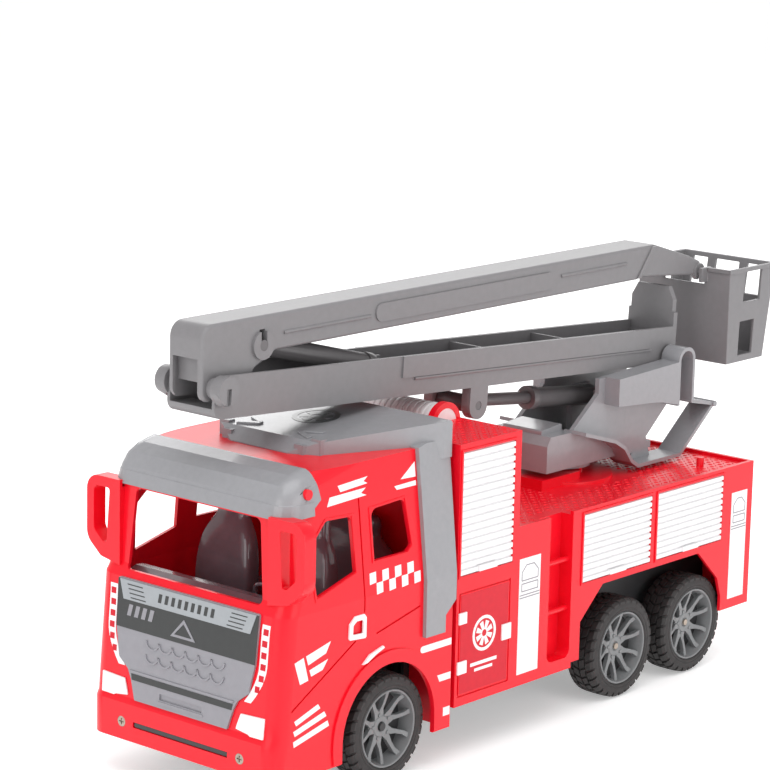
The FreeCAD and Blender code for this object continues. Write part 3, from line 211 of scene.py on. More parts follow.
def board_green():
    return surface("board_green", (0.02, 0.16, 0.06), 0.4, spread=0.2, scale=600.0)


RED = red_plastic()
DEEP_RED = deep_red_plastic()
GREY = grey_plastic()
BOOM = boom_grey()
WHITE = white_plastic()
WHITE_PRINT_AND_HIGHLIGHT = white_print_and_highlight()
BLACK = black_print()
BANNER = banner_grey()
TRIM = trim_grey()
RUBBER = tyre_rubber()
STEEL = screw_steel()

SLOT_MATERIALS = {
    "red_plastic": RED,
    "grey_plastic": GREY,
    "boom_grey": BOOM,
    "cylinder_grey": cylinder_grey(),
    "smoke_plastic": smoke_plastic(),
    "tyre": RUBBER,
    "rim_grey": rim_grey(),
    "white_plastic": WHITE,
    "trim_black": TRIM,
    "screw_steel": STEEL,
    "black_plastic": black_plastic(),
    "gear_nylon": gear_nylon(),
    "cell_jacket": cell_jacket(),
    "contact_steel": bright_steel(),
    "motor_steel": bright_steel(),
    "board_green": board_green(),
}
SMOKE = SLOT_MATERIALS["smoke_plastic"]


def soften(obj, width, segments=2, angle=30.0):
    """Rounded edges with clean shading."""
    weld = obj.modifiers.new("weld", "WELD")
    weld.merge_threshold = 1e-6
    bevel = obj.modifiers.new("soft_edges", "BEVEL")
    bevel.width = width * MM
    bevel.segments = segments
    bevel.limit_method = "ANGLE"
    bevel.angle_limit = math.radians(angle)
    bevel.harden_normals = True


def finish_cad_nodes():
    """Gives every carried-over part its finish and soft moulded edges."""
    widths = {"upper_boom": 0.7, "lower_boom": 0.45, "sun_visor": 0.5, "roof_fairing": 0.7,
              "cab_interior": 1.6,
              "turret_frame": 0.4, "cab_shell": 0.5, "body_shell": 0.4, "basket": 0.4, "mirror_left": 0.8,
              "mirror_right": 0.8}
    for part in frame["record"]["subparts"]:
        obj = frame["nodes"][part["node"]]
        obj.data.materials.clear()
        obj.data.materials.append(SLOT_MATERIALS[part["material_slot"]])
        width = widths.get(part["node"], 0.2)
        soften(obj, width, 3 if width > 0.3 else 2)


# ---- mesh helpers ---------------------------------------------------------
def mesh_from(name, bm, *materials):
    """Mesh with outward normals from a finished bmesh."""
    bmesh.ops.recalc_face_normals(bm, faces=bm.faces)
    mesh = bpy.data.meshes.new(name)
    bm.to_mesh(mesh)
    bm.free()
    for material in materials:
        mesh.materials.append(material)
    return mesh


def linked(name, data):
    """New object in the scene."""
    obj = bpy.data.objects.new(name, data)
    bpy.context.scene.collection.objects.link(obj)
    return obj


def place(name, bm, material, body, bevel=0.0, slot=None):
    """Turns a bmesh in the frame's coordinates into a piece that rides on a body."""
    obj = linked(name, mesh_from(name, bm, material))
    if bevel:
        soften(obj, bevel)
    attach(obj, body)
    return obj


def add_slab(bm, outline, push):
    """Closed plate between an outline and the same outline moved by push."""
    low = [bm.verts.new(point) for point in outline]
    high = [bm.verts.new(point + push) for point in outline]
    bm.faces.new(low[::-1])
    bm.faces.new(high)
    count = len(outline)
    for index in range(count):
        following = (index + 1) % count
        bm.faces.new((low[index], low[following], high[following], high[index]))


def add_block(bm, low, high):
    """Axis-aligned block between two points."""
    outline = [Vector((low.x, low.y, low.z)), Vector((high.x, low.y, low.z)),
               Vector((high.x, high.y, low.z)), Vector((low.x, high.y, low.z))]
    add_slab(bm, outline, Vector((0, 0, high.z - low.z)))


def side_plates(name, outlines, material, bevel=0.06, height=0.16, surface_y=side_y, slot=None):
    """Raised plates on both flanks, from outlines in X and Z."""
    bm = bmesh.new()
    for side in (1, -1):
        for outline in outlines:
            points = [at(x, side * (surface_y(z) - ROOT), z) for x, z in outline]
            add_slab(bm, points, Vector((0, side * (height + ROOT) * MM, 0)))
    return place(name, bm, material, "chassis", bevel, slot)


def body_side(z):
    """Half width of the upright rear body."""
    return HALF_WIDTH


def front_plates(name, outlines, material, lift=0.0, height=0.16, bevel=0.06, slot=None):
    """Raised plates on the cab front, from outlines in Y and Z."""
    bm = bmesh.new()
    for outline in outlines:
        points = [at(front_x(z) + lift - ROOT, y, z) for y, z in outline]
        add_slab(bm, points, Vector(((height + ROOT) * MM, 0, 0)))
    return place(name, bm, material, "chassis", bevel, slot)


def top_plates(name, outlines, z_at, material, height=0.2, bevel=0.06, slot=None):
    """Raised plates on an upward face, from outlines in X and Y."""
    bm = bmesh.new()
    for outline in outlines:
        points = [at(x, y, z_at(x) - ROOT) for x, y in outline]
        add_slab(bm, points, Vector((0, 0, (height + ROOT) * MM)))
    return place(name, bm, material, "chassis", bevel, slot)


def ring_outlines(cx, cy, outer, inner, steps=28):
    """A flat ring as a closed run of quads."""
    quads = []
    for index in range(steps):
        a = 2 * math.pi * index / steps
        b = 2 * math.pi * (index + 1) / steps
        corners = ((outer, a), (outer, b), (inner, b), (inner, a))
        quads.append([(cx + r * math.cos(angle), cy + r * math.sin(angle)) for r, angle in corners])
    return quads


def rectangle(x0, x1, z0, z1):
    return [(x0, z0), (x1, z0), (x1, z1), (x0, z1)]


def stroke(points, width):
    """Quads of constant width along an open or closed line."""
    quads = []
    for (x0, z0), (x1, z1) in zip(points, points[1:]):
        length = math.hypot(x1 - x0, z1 - z0)
        nx, nz = -(z1 - z0) / length * width / 2, (x1 - x0) / length * width / 2
        quads.append([(x0 + nx, z0 + nz), (x1 + nx, z1 + nz), (x1 - nx, z1 - nz), (x0 - nx, z0 - nz)])
    return quads


# ---- cab graphics and trim ------------------------------------------------
def cab_side_graphics():
    checks = []
    for index in range(4):
        x = 105.3 - 8.4 * index
        checks.append([(x - 2.0, 95.6), (x + 2.2, 95.2), (x + 2.0, 100.2), (x - 2.2, 100.4)])
        checks.append([(x - 6.2, 90.6), (x - 2.0, 90.2), (x - 2.2, 95.2), (x - 6.4, 95.4)])
    side_plates("checker_marks", checks, WHITE_PRINT_AND_HIGHLIGHT)
    bars = [
        [(124.0, 141.5), (104.5, 142.6), (107.4, 140.9), (104.8, 139.6), (122.5, 138.6)],
        [(129.5, 137.4), (106.2, 137.9), (109.4, 136.0), (105.9, 134.6), (131.5, 133.6)],
        [(83.0, 137.6), (73.0, 143.9), (73.0, 137.2)],
        [(87.5, 135.2), (86.0, 133.4), (73.0, 133.4), (73.0, 135.6)],
    ]
    side_plates("upper_flank_bars", bars, WHITE_PRINT_AND_HIGHLIGHT)
    low_bars = [
        [(155.5, 44.2), (140.5, 48.8), (139.0, 46.6), (154.2, 42.0)],
        [(156.0, 39.8), (136.4, 44.6), (135.0, 42.2), (155.0, 37.4)],
        [(156.0, 35.2), (134.2, 40.0), (133.2, 37.4), (155.5, 32.6)],
    ]
    side_plates("low_front_bars", low_bars, WHITE_PRINT_AND_HIGHLIGHT)
    wedge = [
        [(155.8, 70.2), (152.2, 60.0), (147.0, 60.8), (150.2, 71.6)],
        [(148.6, 71.9), (133.0, 75.4), (136.0, 70.6), (147.2, 67.6)],
        [(146.4, 65.2), (134.6, 67.8), (138.0, 63.6), (145.2, 62.2)],
    ]
    side_plates("door_wedge_marks", wedge, WHITE_PRINT_AND_HIGHLIGHT)
    # Painted highlight: a thin white strip along the lit outer edge of the fender flare.
    streak = [(112.6, 60.3), (107.8, 63.9), (99.0, 66.2), (98.4, 65.2), (104.2, 63.2), (109.6, 60.6)]
    side_plates("fender_painted_highlight", [streak], WHITE_PRINT_AND_HIGHLIGHT, height=1.05)
    sill = [pill(73.0, 51.6, 56.6, 59.8), pill(63.4, 51.6, 40.6, 43.8), pill(60.6, 51.6, 23.6, 27.6)]
    side_plates("sill_bars", sill, WHITE_PRINT_AND_HIGHLIGHT, height=0.3)


def pill(x_round, x_flat, z0, z1):
    """Horizontal bar with one rounded end."""
    radius = (z1 - z0) / 2
    bar = [(x_flat, z0), (x_flat, z1)]
    for step in range(7):
        angle = math.radians(90 - 30 * step)
        bar.append((x_round - radius + radius * math.cos(angle), (z0 + z1) / 2 + radius * math.sin(angle)))
    return bar


def door_handles():
    """Raised edging of each door's handle recess."""
    outer = [(110.6, 72.8), (111.2, 72.3), (121.2, 73.2), (121.8, 74.0), (121.4, 80.4), (118.0, 83.3),
             (112.0, 83.3),
             (110.6, 81.6)]
    inner = [(112.6, 75.0), (112.8, 74.8), (119.2, 75.2), (119.4, 75.6), (119.2, 79.4), (117.0, 81.0),
             (113.4, 81.0),
             (112.6, 80.2)]
    quads = []
    for index in range(len(outer)):
        following = (index + 1) % len(outer)
        quads.append([outer[index], outer[following], inner[following], inner[index]])
    side_plates("door_handles", quads, WHITE_PRINT_AND_HIGHLIGHT, bevel=0.0, height=0.8)


def window_frames():
    """Slim raised edging around the door and rear windows."""
    windows = [
        [(116.3, 102.5), (117.0, 127.0), (133.0, 127.8), (143.6, 118.0), (141.6, 96.0)],
        [(103.6, 105.2), (103.8, 127.8), (81.6, 128.8), (78.6, 107.6), (82.0, 105.2)],
    ]
    quads = []
    for window in windows:
        cx = sum(point[0] for point in window) / len(window)
        cz = sum(point[1] for point in window) / len(window)
        inner = [(cx + (x - cx) * 1.02, cz + (z - cz) * 1.02) for x, z in window]
        outer = [(cx + (x - cx) * 1.10, cz + (z - cz) * 1.09) for x, z in window]
        for index in range(len(window)):
            following = (index + 1) % len(window)
            quads.append([outer[index], outer[following], inner[following], inner[index]])
    side_plates("window_edging", quads, RED, bevel=0.0, height=0.35, slot="red_plastic")


def grille_details():
    lift = 1.2
    band = [[(-42.4, 68.3), (42.4, 68.3), (42.9, 89.9), (-42.9, 89.9)]]
    front_plates("grille_band", band, BLACK, lift=lift)
    banner = [[(-38.6, 81.2), (38.6, 81.2), (41.6, 89.9), (-41.6, 89.9)]]
    front_plates("grille_banner", banner, BANNER, lift=lift, height=0.5)
    lines = []
    for side in (-1, 1):
        for row in range(4):
            y = 24.6 + 0.8 * row
            z = 82.2 + 1.9 * row
            slanted = [(y, z), (y + 9.5, z), (y + 9.7, z + 0.5), (y + 0.2, z + 0.5)]
            lines.append([(side * py, pz) for py, pz in slanted])
    for index in range(9):
        y = -16.0 + 4.0 * index
        lines.append([(y - 1.3, 83.6), (y + 0.7, 83.6), (y + 1.3, 87.6), (y - 0.7, 87.6)])
    front_plates("banner_marks", lines, BLACK, lift=lift + 0.5, height=0.08)
    edge = 1.1
    mark = [[(-8.6, 70.6), (6.6, 70.6), (6.6 - 2 * edge, 70.6 + edge), (-8.6 + 2 * edge, 70.6 + edge)],
            [(-8.6, 70.6), (-8.6 + 2 * edge, 70.6 + edge), (-1.0, 77.2), (-1.0, 79.2)],
            [(6.6, 70.6), (-1.0, 79.2), (-1.0, 77.2), (6.6 - 2 * edge, 70.6 + edge)]]
    dashes = []
    for index in range(4):
        y = -36.0 + 4.4 * index
        dashes.append([(y, 74.2), (y + 2.4, 74.2), (y + 3.6, 79.4), (y + 1.2, 79.4)])
    front_plates("band_marks", mark + dashes, TRIM, lift=lift + 0.16, height=0.2)
    scallops()
    rail = [[(-30.6, 46.0), (30.6, 46.0), (31.2, 48.8), (-31.2, 48.8)]]
    front_plates("grille_rail", rail, BLACK, lift=lift)
    ledge = [[(-31.0, 49.2), (31.0, 49.2), (32.0, 50.4), (-32.0, 50.4)]]
    front_plates("grille_ledge", ledge, TRIM, lift=lift, height=0.5, bevel=0.2, slot="trim_black")
    inlet = [[(-13.4, 38.9), (13.4, 38.9), (14.2, 39.5), (13.4, 40.1), (-13.4, 40.1), (-14.2, 39.5)]]
    front_plates("grille_inlet", inlet, TRIM, lift=lift, height=0.4, bevel=0.15, slot="trim_black")


def scallops():
    """Two rows of shallow scoops with raised wavy rims."""
    ribs = []
    pitch, count = 8.0, 6
    for z_low in (61.4, 55.1):
        for index in range(count):
            centre = (index - (count - 1) / 2) * pitch + 1.0
            steps = 8
            for step in range(steps):
                a = math.pi * (1.0 + step / steps)
                b = math.pi * (1.0 + (step + 1) / steps)
                run = []
                for angle, radius in ((a, 4.3), (b, 4.3), (b, 3.5), (a, 3.5)):
                    run.append((centre + radius * math.cos(angle),
                                z_low + 4.0 + radius * 0.9 * math.sin(angle)))
                ribs.append(run)
    front_plates("grille_scallops", ribs, TRIM, lift=1.2, height=0.6, bevel=0.0, slot="trim_black")


def strip_edges(z):
    """Inner and outer Y of the white strip beside the grille at a height."""
    bend = max(0.0, (68.0 - z) / 17.0)
    inner = 44.2 - 7.4 * bend ** 1.8 - 0.3 * (z < 84.0)
    return inner, inner + 4.6 - 0.6 * bend


def flank_strips():
    """White strips with red dashes beside the grille."""
    strips, dashes = [], []
    top, low, count = 86.4, 51.0, 12
    for side in (-1, 1):
        for index in range(count):
            z0 = top - (top - low) * index / count
            z1 = top - (top - low) * (index + 1) / count
            in0, out0 = strip_edges(z0)
            in1, out1 = strip_edges(z1)
            strips.append([(side * in0, z0), (side * out0, z0), (side * out1, z1), (side * in1, z1)])
        for index in range(6):
            z = 84.6 - 5.1 * index
            inner, outer = strip_edges(z)
            dash = [(inner + 0.8, z), (outer - 0.8, z), (outer - 0.9, z - 2.8), (inner + 0.7, z - 2.8)]
            dashes.append([(side * py, pz) for py, pz in dash])
    front_plates("flank_strips", strips, WHITE_PRINT_AND_HIGHLIGHT, height=0.14)
    front_plates("flank_dashes", dashes, DEEP_RED, lift=0.14, height=0.1)


def headlamp_details():
    """White lamp panels with a notched lower edge."""
    outline = [(35.6, 45.6), (49.6, 46.3), (49.4, 36.9), (41.8, 36.8), (40.6, 37.4), (33.2, 38.4),
               (33.6, 40.0)]
    for name, side in (("headlamp_left", 1), ("headlamp_right", -1)):
        placed = [(side * y, z) for y, z in outline]
        panel = front_plates(name + "_panel", [placed], WHITE, height=0.95, bevel=0.35, slot="white_plastic")
        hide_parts(name)


def bumper_details():
    """Dark inset bar in the bumper slot."""
    bm = bmesh.new()
    low_z, high_z, reach = 24.5, 26.7, 28.8
    radius = (high_z - low_z) / 2
    outline = []
    for side in (1, -1):
        for step in range(7):
            angle = math.radians(90 - 30 * step)
            y = reach - radius + radius * math.cos(angle)
            outline.append(at(165.4, side * y, 25.6 + side * radius * math.sin(angle)))
    add_slab(bm, outline, Vector((1.6 * MM, 0, 0)))
    place("bumper_slot_bar", bm, BLACK, "chassis", 0.2)


def visor_band():
    """Proud band along the lower edge of the visor, wrapped around both cab corners."""
    corner_r, skin, depth = 8.0, 1.4, 0.45
    bm = bmesh.new()
    levels = []
    for z, lift in ((131.9, skin - 0.5), (131.7, skin + depth), (137.6, skin + depth), (138.2, skin - 0.1)):
        x, y = front_x(z) - corner_r, side_y(z) - corner_r
        half = [(141.0, y + corner_r + lift)]
        for step in range(9):
            angle = math.radians(90 - 11.25 * step)
            reach = corner_r + lift
            half.append((x + reach * math.cos(angle), y + reach * math.sin(angle)))
        path = half + [(px, -py) for px, py in reversed(half)]
        levels.append([bm.verts.new(at(px, py, z)) for px, py in path])
    count = len(levels[0])
    for first, second in zip(levels, levels[1:] + levels[:1]):
        for k in range(count - 1):
            bm.faces.new((first[k], first[k + 1], second[k + 1], second[k]))
    for k in (0, count - 1):
        bm.faces.new([level[k] for level in levels])
    place("visor_band", bm, GREY, "chassis", 0.15, "grey_plastic")


# ---- cab interior ---------------------------------------------------------
def squircle(count, half_a, half_b):
    """Rounded rectangle as count points of a superellipse."""
    points = []
    for step in range(count):
        a = 2 * math.pi * step / count
        c, s = math.cos(a), math.sin(a)
        points.append((half_a * math.copysign(abs(c) ** 0.6, c), half_b * math.copysign(abs(s) ** 0.6, s)))
    return points


def loft(bm, rings):
    """Closed skin through rings of equal length, capped at both ends."""
    loops = [[bm.verts.new(point) for point in ring] for ring in rings]
    count = len(loops[0])
    for first, second in zip(loops, loops[1:]):
        for k in range(count):
            j = (k + 1) % count
            bm.faces.new((first[k], first[j], second[j], second[k]))
    bm.faces.new(loops[0][::-1])
    bm.faces.new(loops[-1])


def seat_form(name, x, y, half_width, top):
    """Moulded seat: hollowed back with side bolsters, headrest and a crowned cushion."""
    bm = bmesh.new()
    neck = top - 12.5
    back = [(63.0, x - 3.0, 0.90, 5.4), (74.0, x - 2.6, 1.0, 6.0), (neck - 18.0, x - 3.6, 1.0, 5.6),
            (neck - 6.0, x - 5.0, 0.84, 4.9), (neck, x - 6.4, 0.56, 3.6), (neck + 3.0, x - 6.8, 0.50, 3.4),
            (top - 3.0, x - 7.2, 0.54, 3.6), (top - 0.2, x - 7.4, 0.40, 2.4)]
    rings = []
    for z, middle, share, thick in back:
        ring = []
        wing = 2.6 if z < neck - 2.0 else 0.0
        for a, b in squircle(20, thick, half_width * share):
            forward = wing * (abs(b) / half_width) ** 3 if a > 0 else 0.0
            ring.append(at(middle + a + forward, y + b, z))
        rings.append(ring)
    loft(bm, rings)
    rings = []
    cushion = [(x - 2.0, 70.0, 0.9, 6.0), (x + 3.0, 70.4, 1.0, 7.6), (x + 15.0, 70.6, 1.0, 7.4),
               (x + 21.0, 70.0, 0.97, 6.6), (x + 23.8, 69.6, 0.88, 4.6)]
    for px, z, share, thick in cushion:
        ring = []
        for a, b in squircle(20, thick, half_width * share):
            crown = 0.8 * (abs(b) / half_width) ** 3 if a > 0 else 0.0
            ring.append(at(px, y + b, z + a + crown))
        rings.append(ring)
    loft(bm, rings)
    seat = place(name, bm, SMOKE, "chassis", slot="smoke_plastic")
    smooth = seat.modifiers.new("smooth", "SUBSURF")
    smooth.levels = 2
    smooth.render_levels = 2
    return seat


def steering_wheel():
    """Thin rim with two flat spokes, tilted towards the left seat."""
    bm = bmesh.new()
    centre = at(136.5, 24.0, 88.0)
    tilt = math.radians(62)
    rim_r, rim_half = 8.6, 0.8
    steps, tube = 32, 6
    loops = []
    for index in range(steps):
        a = 2 * math.pi * index / steps
        ring = []
        for k in range(tube):
            b = 2 * math.pi * k / tube
            r = rim_r + rim_half * math.cos(b)
            u, v, w = r * math.cos(a), r * math.sin(a), rim_half * math.sin(b)
            x = v * math.cos(tilt) + w * math.sin(tilt)
            z = v * math.sin(tilt) - w * math.cos(tilt)
            ring.append(bm.verts.new(centre + Vector((x, u, z)) * MM))
        loops.append(ring)
    for index in range(steps):
        first, second = loops[index], loops[(index + 1) % steps]
        for k in range(tube):
            j = (k + 1) % tube
            bm.faces.new((first[k], first[j], second[j], second[k]))
    for u in (-1, 1):
        spoke = []
        for r, v in ((0.5, -1.0), (8.4, -1.0), (8.4, 1.0), (0.5, 1.0)):
            spoke.append(Vector((v * math.cos(tilt), u * r, v * math.sin(tilt))))
        add_slab(bm, [centre + point * MM for point in spoke], Vector((0.9 * MM, 0, -0.5 * MM)))
    return place("steering_wheel", bm, SMOKE, "chassis", slot="smoke_plastic")


def cab_inside():
    """Smoky moulding inside the cab: floor, dash with a wheel, console, two seats and a bench."""
    bm = bmesh.new()
    add_block(bm, at(56.0, -49.0, 60.0), at(154.0, 49.0, 62.0))
    add_block(bm, at(116.0, -5.0, 61.9), at(141.0, 5.0, 75.8))
    dash = [(140.2, 62.0), (155.4, 62.0), (155.4, 91.3), (150.5, 92.9), (146.4, 92.8), (141.8, 90.6),
            (140.3, 86.8)]
    add_slab(bm, [at(x, -46.0, z) for x, z in dash], Vector((0, 92.0 * MM, 0)))
    tray = place("cab_floor_and_dash", bm, SMOKE, "chassis", 1.2, "smoke_plastic")
    seats = [
        seat_form("front_seat_left", 116.0, 24.0, 17.0, 124.0),
        seat_form("front_seat_right", 116.0, -24.0, 17.0, 124.0),
        seat_form("rear_bench", 67.0, 0.0, 40.0, 112.0),
    ]
    for piece in [tray, steering_wheel()] + seats:
        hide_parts("cab_interior")


# ---- roof and tower -------------------------------------------------------
def fairing_z(x):
    """Top of the roof fairing."""
    if x > 112.6:
        return 155.0 - (x - 112.6) * 5.5 / 7.4
    return 155.0 + (112.6 - x) * 5.2 / 61.6


def fairing_details():
    chevrons = []
    for side in (-1, 1):
        chevrons.append([(108.4, side * 21.6), (111.4, side * 21.6), (107.0, side * 11.6),
                         (104.0, side * 11.6)])
        chevrons.append([(103.6, side * 12.4), (106.4, side * 11.6), (101.8, side * 21.6),
                         (99.2, side * 21.6)])
    top_plates("fairing_chevrons", chevrons, fairing_z, GREY, height=0.9, bevel=0.25, slot="grey_plastic")
    ring = ring_outlines(82.0, 0.0, 11.0, 8.6, 36)
    petals = []
    for index in range(6):
        a = math.radians(60 * index)
        c, s = math.cos(a), math.sin(a)
        outline = [(2.2, -1.6), (7.2, -2.4), (8.0, 0.0), (7.2, 2.4), (2.2, 1.6)]
        petals.append([(82.0 + x * c - y * s, x * s + y * c) for x, y in outline])
    top_plates("fairing_emblem", ring + petals, fairing_z, BLACK, height=0.12, bevel=0.0)


def tread_plate(name, x0, x1, y0, y1, z, keep_out=()):
    """Raised lozenges in alternating directions on a red deck."""
    bm = bmesh.new()
    pitch = 3.4
    columns = int((x1 - x0) / pitch)
    rows = int((y1 - y0) / pitch)
    for i in range(columns):
        for j in range(rows):
            cx = x0 + (i + 0.5) * (x1 - x0) / columns
            cy = y0 + (j + 0.5) * (y1 - y0) / rows
            if any(a - 1 < cx < b + 1 and c - 1 < cy < d + 1 for a, b, c, d in keep_out):
                continue
            angle = math.radians(45 if (i + j) % 2 else -45)
            along = Vector((math.cos(angle), math.sin(angle), 0)) * 1.35 * MM
            across = Vector((-math.sin(angle), math.cos(angle), 0)) * 0.55 * MM
            base = at(cx, cy, z - 0.02)
            top = Vector((0, 0, 0.42 * MM))
            low = [bm.verts.new(p) for p in (base - along, base - across, base + along, base + across)]
            high = [bm.verts.new(base + top + along * s) for s in (-0.45, 0.45)]
            bm.faces.new((low[0], low[1], high[0]))
            bm.faces.new((low[1], low[2], high[1], high[0]))
            bm.faces.new((low[2], low[3], high[1]))
            bm.faces.new((low[3], low[0], high[0], high[1]))
            bm.faces.new(low[::-1])
    return place(name, bm, RED, "chassis", slot="red_plastic")


def tower_details():
    tread_plate("tower_tread", 4.9, 47.6, -56.2, 56.2, TOWER_TOP, keep_out=[(5.0, 26.2, -53.2, 20.8)])
    tread_plate("deck_tread", -184.0, -99.0, -54.4, 54.4, DECK_Z,
                keep_out=[(-126.0, -60.0, -28.0, 28.0), (-164.6, -160.4, 38.4, 42.8)])
    tread_plate("step_tread", -99.0, 3.6, -54.4, 54.4, DECK_Z,
                keep_out=[(-130.0, -61.0, -28.0, 28.0), (-40.0, -17.0, 46.0, 58.0),
                          (-40.0, -17.0, -58.0, -46.0)])
    arch = bmesh.new()
    centre_x, centre_z, radius = 15.5, TOWER_TOP - 1.6, 10.4
    outer, inner = radius + 0.08, 7.6
    for y0, y1 in ((17.6, 20.7), (-53.1, -50.0)):
        steps = 24
        outline_outer, outline_inner = [], []
        start = math.asin(1.6 / radius)
        for index in range(steps + 1):
            a = start + (math.pi - 2 * start) * index / steps
            c, s = math.cos(a), math.sin(a)
            outline_outer.append(at(centre_x + outer * c, y0 - 0.1, centre_z + outer * s))
            outline_inner.append(at(centre_x + inner * c, y0 - 0.1, centre_z + max(1.62, inner * s)))
        push = Vector((0, (y1 - y0 + 0.2) * MM, 0))
        for index in range(steps):
            quad = [outline_outer[index], outline_outer[index + 1], outline_inner[index + 1],
                    outline_inner[index]]
            add_slab(arch, quad, push)
    place("hose_roll_arches", arch, RED, "chassis", slot="red_plastic")


def frame_quads(x0, x1, z0, z1, width):
    """A rectangular frame as four plates."""
    return [
        rectangle(x0, x1, z0, z0 + width),
        rectangle(x0, x1, z1 - width, z1),
        rectangle(x0, x0 + width, z0 + width, z1 - width),
        rectangle(x1 - width, x1, z0 + width, z1 - width),
    ]


def locker_door():
    skin = [rectangle(10.8, 45.0, 31.2, 77.8)]
    side_plates("locker_door_skin", skin, DEEP_RED, height=0.12, surface_y=body_side, slot="red_plastic")
    fittings = [
        rectangle(41.4, 46.8, 64.4, 69.8),
        rectangle(40.8, 47.2, 40.8, 46.8),
        rectangle(9.0, 15.6, 50.6, 58.2),
    ]
    side_plates("locker_hinges", fittings, WHITE_PRINT_AND_HIGHLIGHT, height=0.9, bevel=0.2, surface_y=body_side)
    cx, cz = 28.0, 57.0
    ring = ring_outlines(cx, cz, 8.4, 6.9)
    rays = []
    for index in range(8):
        a = math.radians(45 * index + 22.5)
        c, s = math.cos(a), math.sin(a)
        outline = [(1.6, -0.7), (5.8, -1.3), (5.8, 1.3), (1.6, 0.7)]
        rays.append([(cx + x * c - y * s, cz + x * s + y * c) for x, y in outline])
    side_plates("locker_emblem", ring + rays, WHITE_PRINT_AND_HIGHLIGHT, bevel=0.0, height=0.22, surface_y=body_side)
    bars = [rectangle(18.5, 37.5, 42.6, 44.2), rectangle(21.5, 34.5, 39.8, 41.2)]
    side_plates("locker_emblem_bar", bars, WHITE_PRINT_AND_HIGHLIGHT, bevel=0.0, height=0.22, surface_y=body_side)


def stripe_panels():
    panels = [rectangle(-12.4, 3.2, 31.0, 86.8), rectangle(-181.6, -168.0, 33.2, 88.6)]
    side_plates("stripe_panels", panels, WHITE_PRINT_AND_HIGHLIGHT, height=0.3, bevel=0.12, surface_y=body_side)
    lines, line = [], 0.5
    for x0, x1, z1 in ((-12.4, 3.2, 86.8), (-181.6, -168.0, 88.6)):
        left, right = x0 + 1.8, x1 - 1.8
        gable = [(left, z1 - 10.6), (left, z1 - 6.6), (left + 3.2, z1 - 3.4), (right - 3.2, z1 - 3.4),
                 (right, z1 - 6.6), (right, z1 - 10.6), (left, z1 - 10.6)]
        tablet = [(left, z1 - 15.8), (left, z1 - 12.2), (right, z1 - 12.2), (right, z1 - 15.8),
                  (left, z1 - 15.8)]
        lines += stroke(gable, line) + stroke(tablet, line)
        for drop in (17.6, 18.9):
            lines += stroke([(x0 + 0.4, z1 - drop), (x1 - 0.4, z1 - drop)], line)
    side_plates("stripe_panel_lines", lines, TRIM, height=0.36, bevel=0.0, surface_y=body_side)
    shutters = [(9.2, 46.5, 87.0, 145.0), (-99.1, -45.0, 65.9, 100.0), (-159.6, -104.3, 65.9, 100.0)]
    frames = []
    for x0, x1, z0, z1 in shutters:
        frames += frame_quads(x0 - 1.0, x1 + 1.0, z0 - 1.0, z1 + 0.7, 1.0)
    side_plates("shutter_frames", frames, RED, height=0.55, bevel=0.0, surface_y=body_side,
                slot="red_plastic")


# ---- boom and basket trim -------------------------------------------------
def boom_tail_ribs():
    """Slanted ribs where the upper boom starts to taper."""
    bm = bmesh.new()
    slanted = [(-144.0, 195.0), (-146.8, 195.0), (-158.8, 210.0), (-156.0, 210.0)]
    for side in (1, -1):
        outline = [at(x, side * 9.9, z) for x, z in slanted]
        add_slab(bm, outline, Vector((0, side * 1.0 * MM, 0)))
    place("boom_tail_ribs", bm, BOOM, "upper_boom", 0.25, "boom_grey")


def basket_lip():
    """Thick rim along the top of the basket."""
    half, front, rear, low, high = 28.6, -199.4, -240.3, 192.9, 194.98
    bm = bmesh.new()
    for side in (1, -1):
        low_y, high_y = sorted((side * half, side * (half + 0.7)))
        add_block(bm, at(rear, low_y, low), at(front + 0.6, high_y, high))
        low_y, high_y = sorted((side * 15.0, side * half))
        add_block(bm, at(front - 0.2, low_y, low), at(front + 0.6, high_y, high))
    place("basket_lip", bm, BOOM, "basket", 0.2, "boom_grey")


# ---- wheels ---------------------------------------------------------------
def add_ring(bm, profile, steps):
    """Lathe-turned closed section around the Y axis."""
    loops = []
    for index in range(steps):
        a = 2 * math.pi * index / steps
        loops.append([bm.verts.new(Vector((r * math.cos(a), y, r * math.sin(a))) * MM) for y, r in profile])
    for index in range(steps):
        first, second = loops[index], loops[(index + 1) % steps]
        for k in range(len(profile)):
            j = (k + 1) % len(profile)
            bm.faces.new((first[k], first[j], second[j], second[k]))


def add_tread_block(bm, middle, span, section, skew):
    """One tread block: section lists (y, low radius, high radius) across its width."""
    verts = []
    for y, low, high in section:
        lean = skew * y
        ring = []
        for r, narrowing in ((low, 1.0), (high, 0.84)):
            for sign in (-1, 1):
                a = middle + lean + sign * span / 2 * narrowing
                ring.append(bm.verts.new(Vector((r * math.cos(a), y, r * math.sin(a))) * MM))
        verts.append(ring)
    for first, second in zip(verts, verts[1:]):
        for i, j in ((0, 1), (1, 3), (3, 2), (2, 0)):
            bm.faces.new((first[i], first[j], second[j], second[i]))
    bm.faces.new((verts[0][0], verts[0][2], verts[0][3], verts[0][1]))
    bm.faces.new((verts[-1][0], verts[-1][1], verts[-1][3], verts[-1][2]))


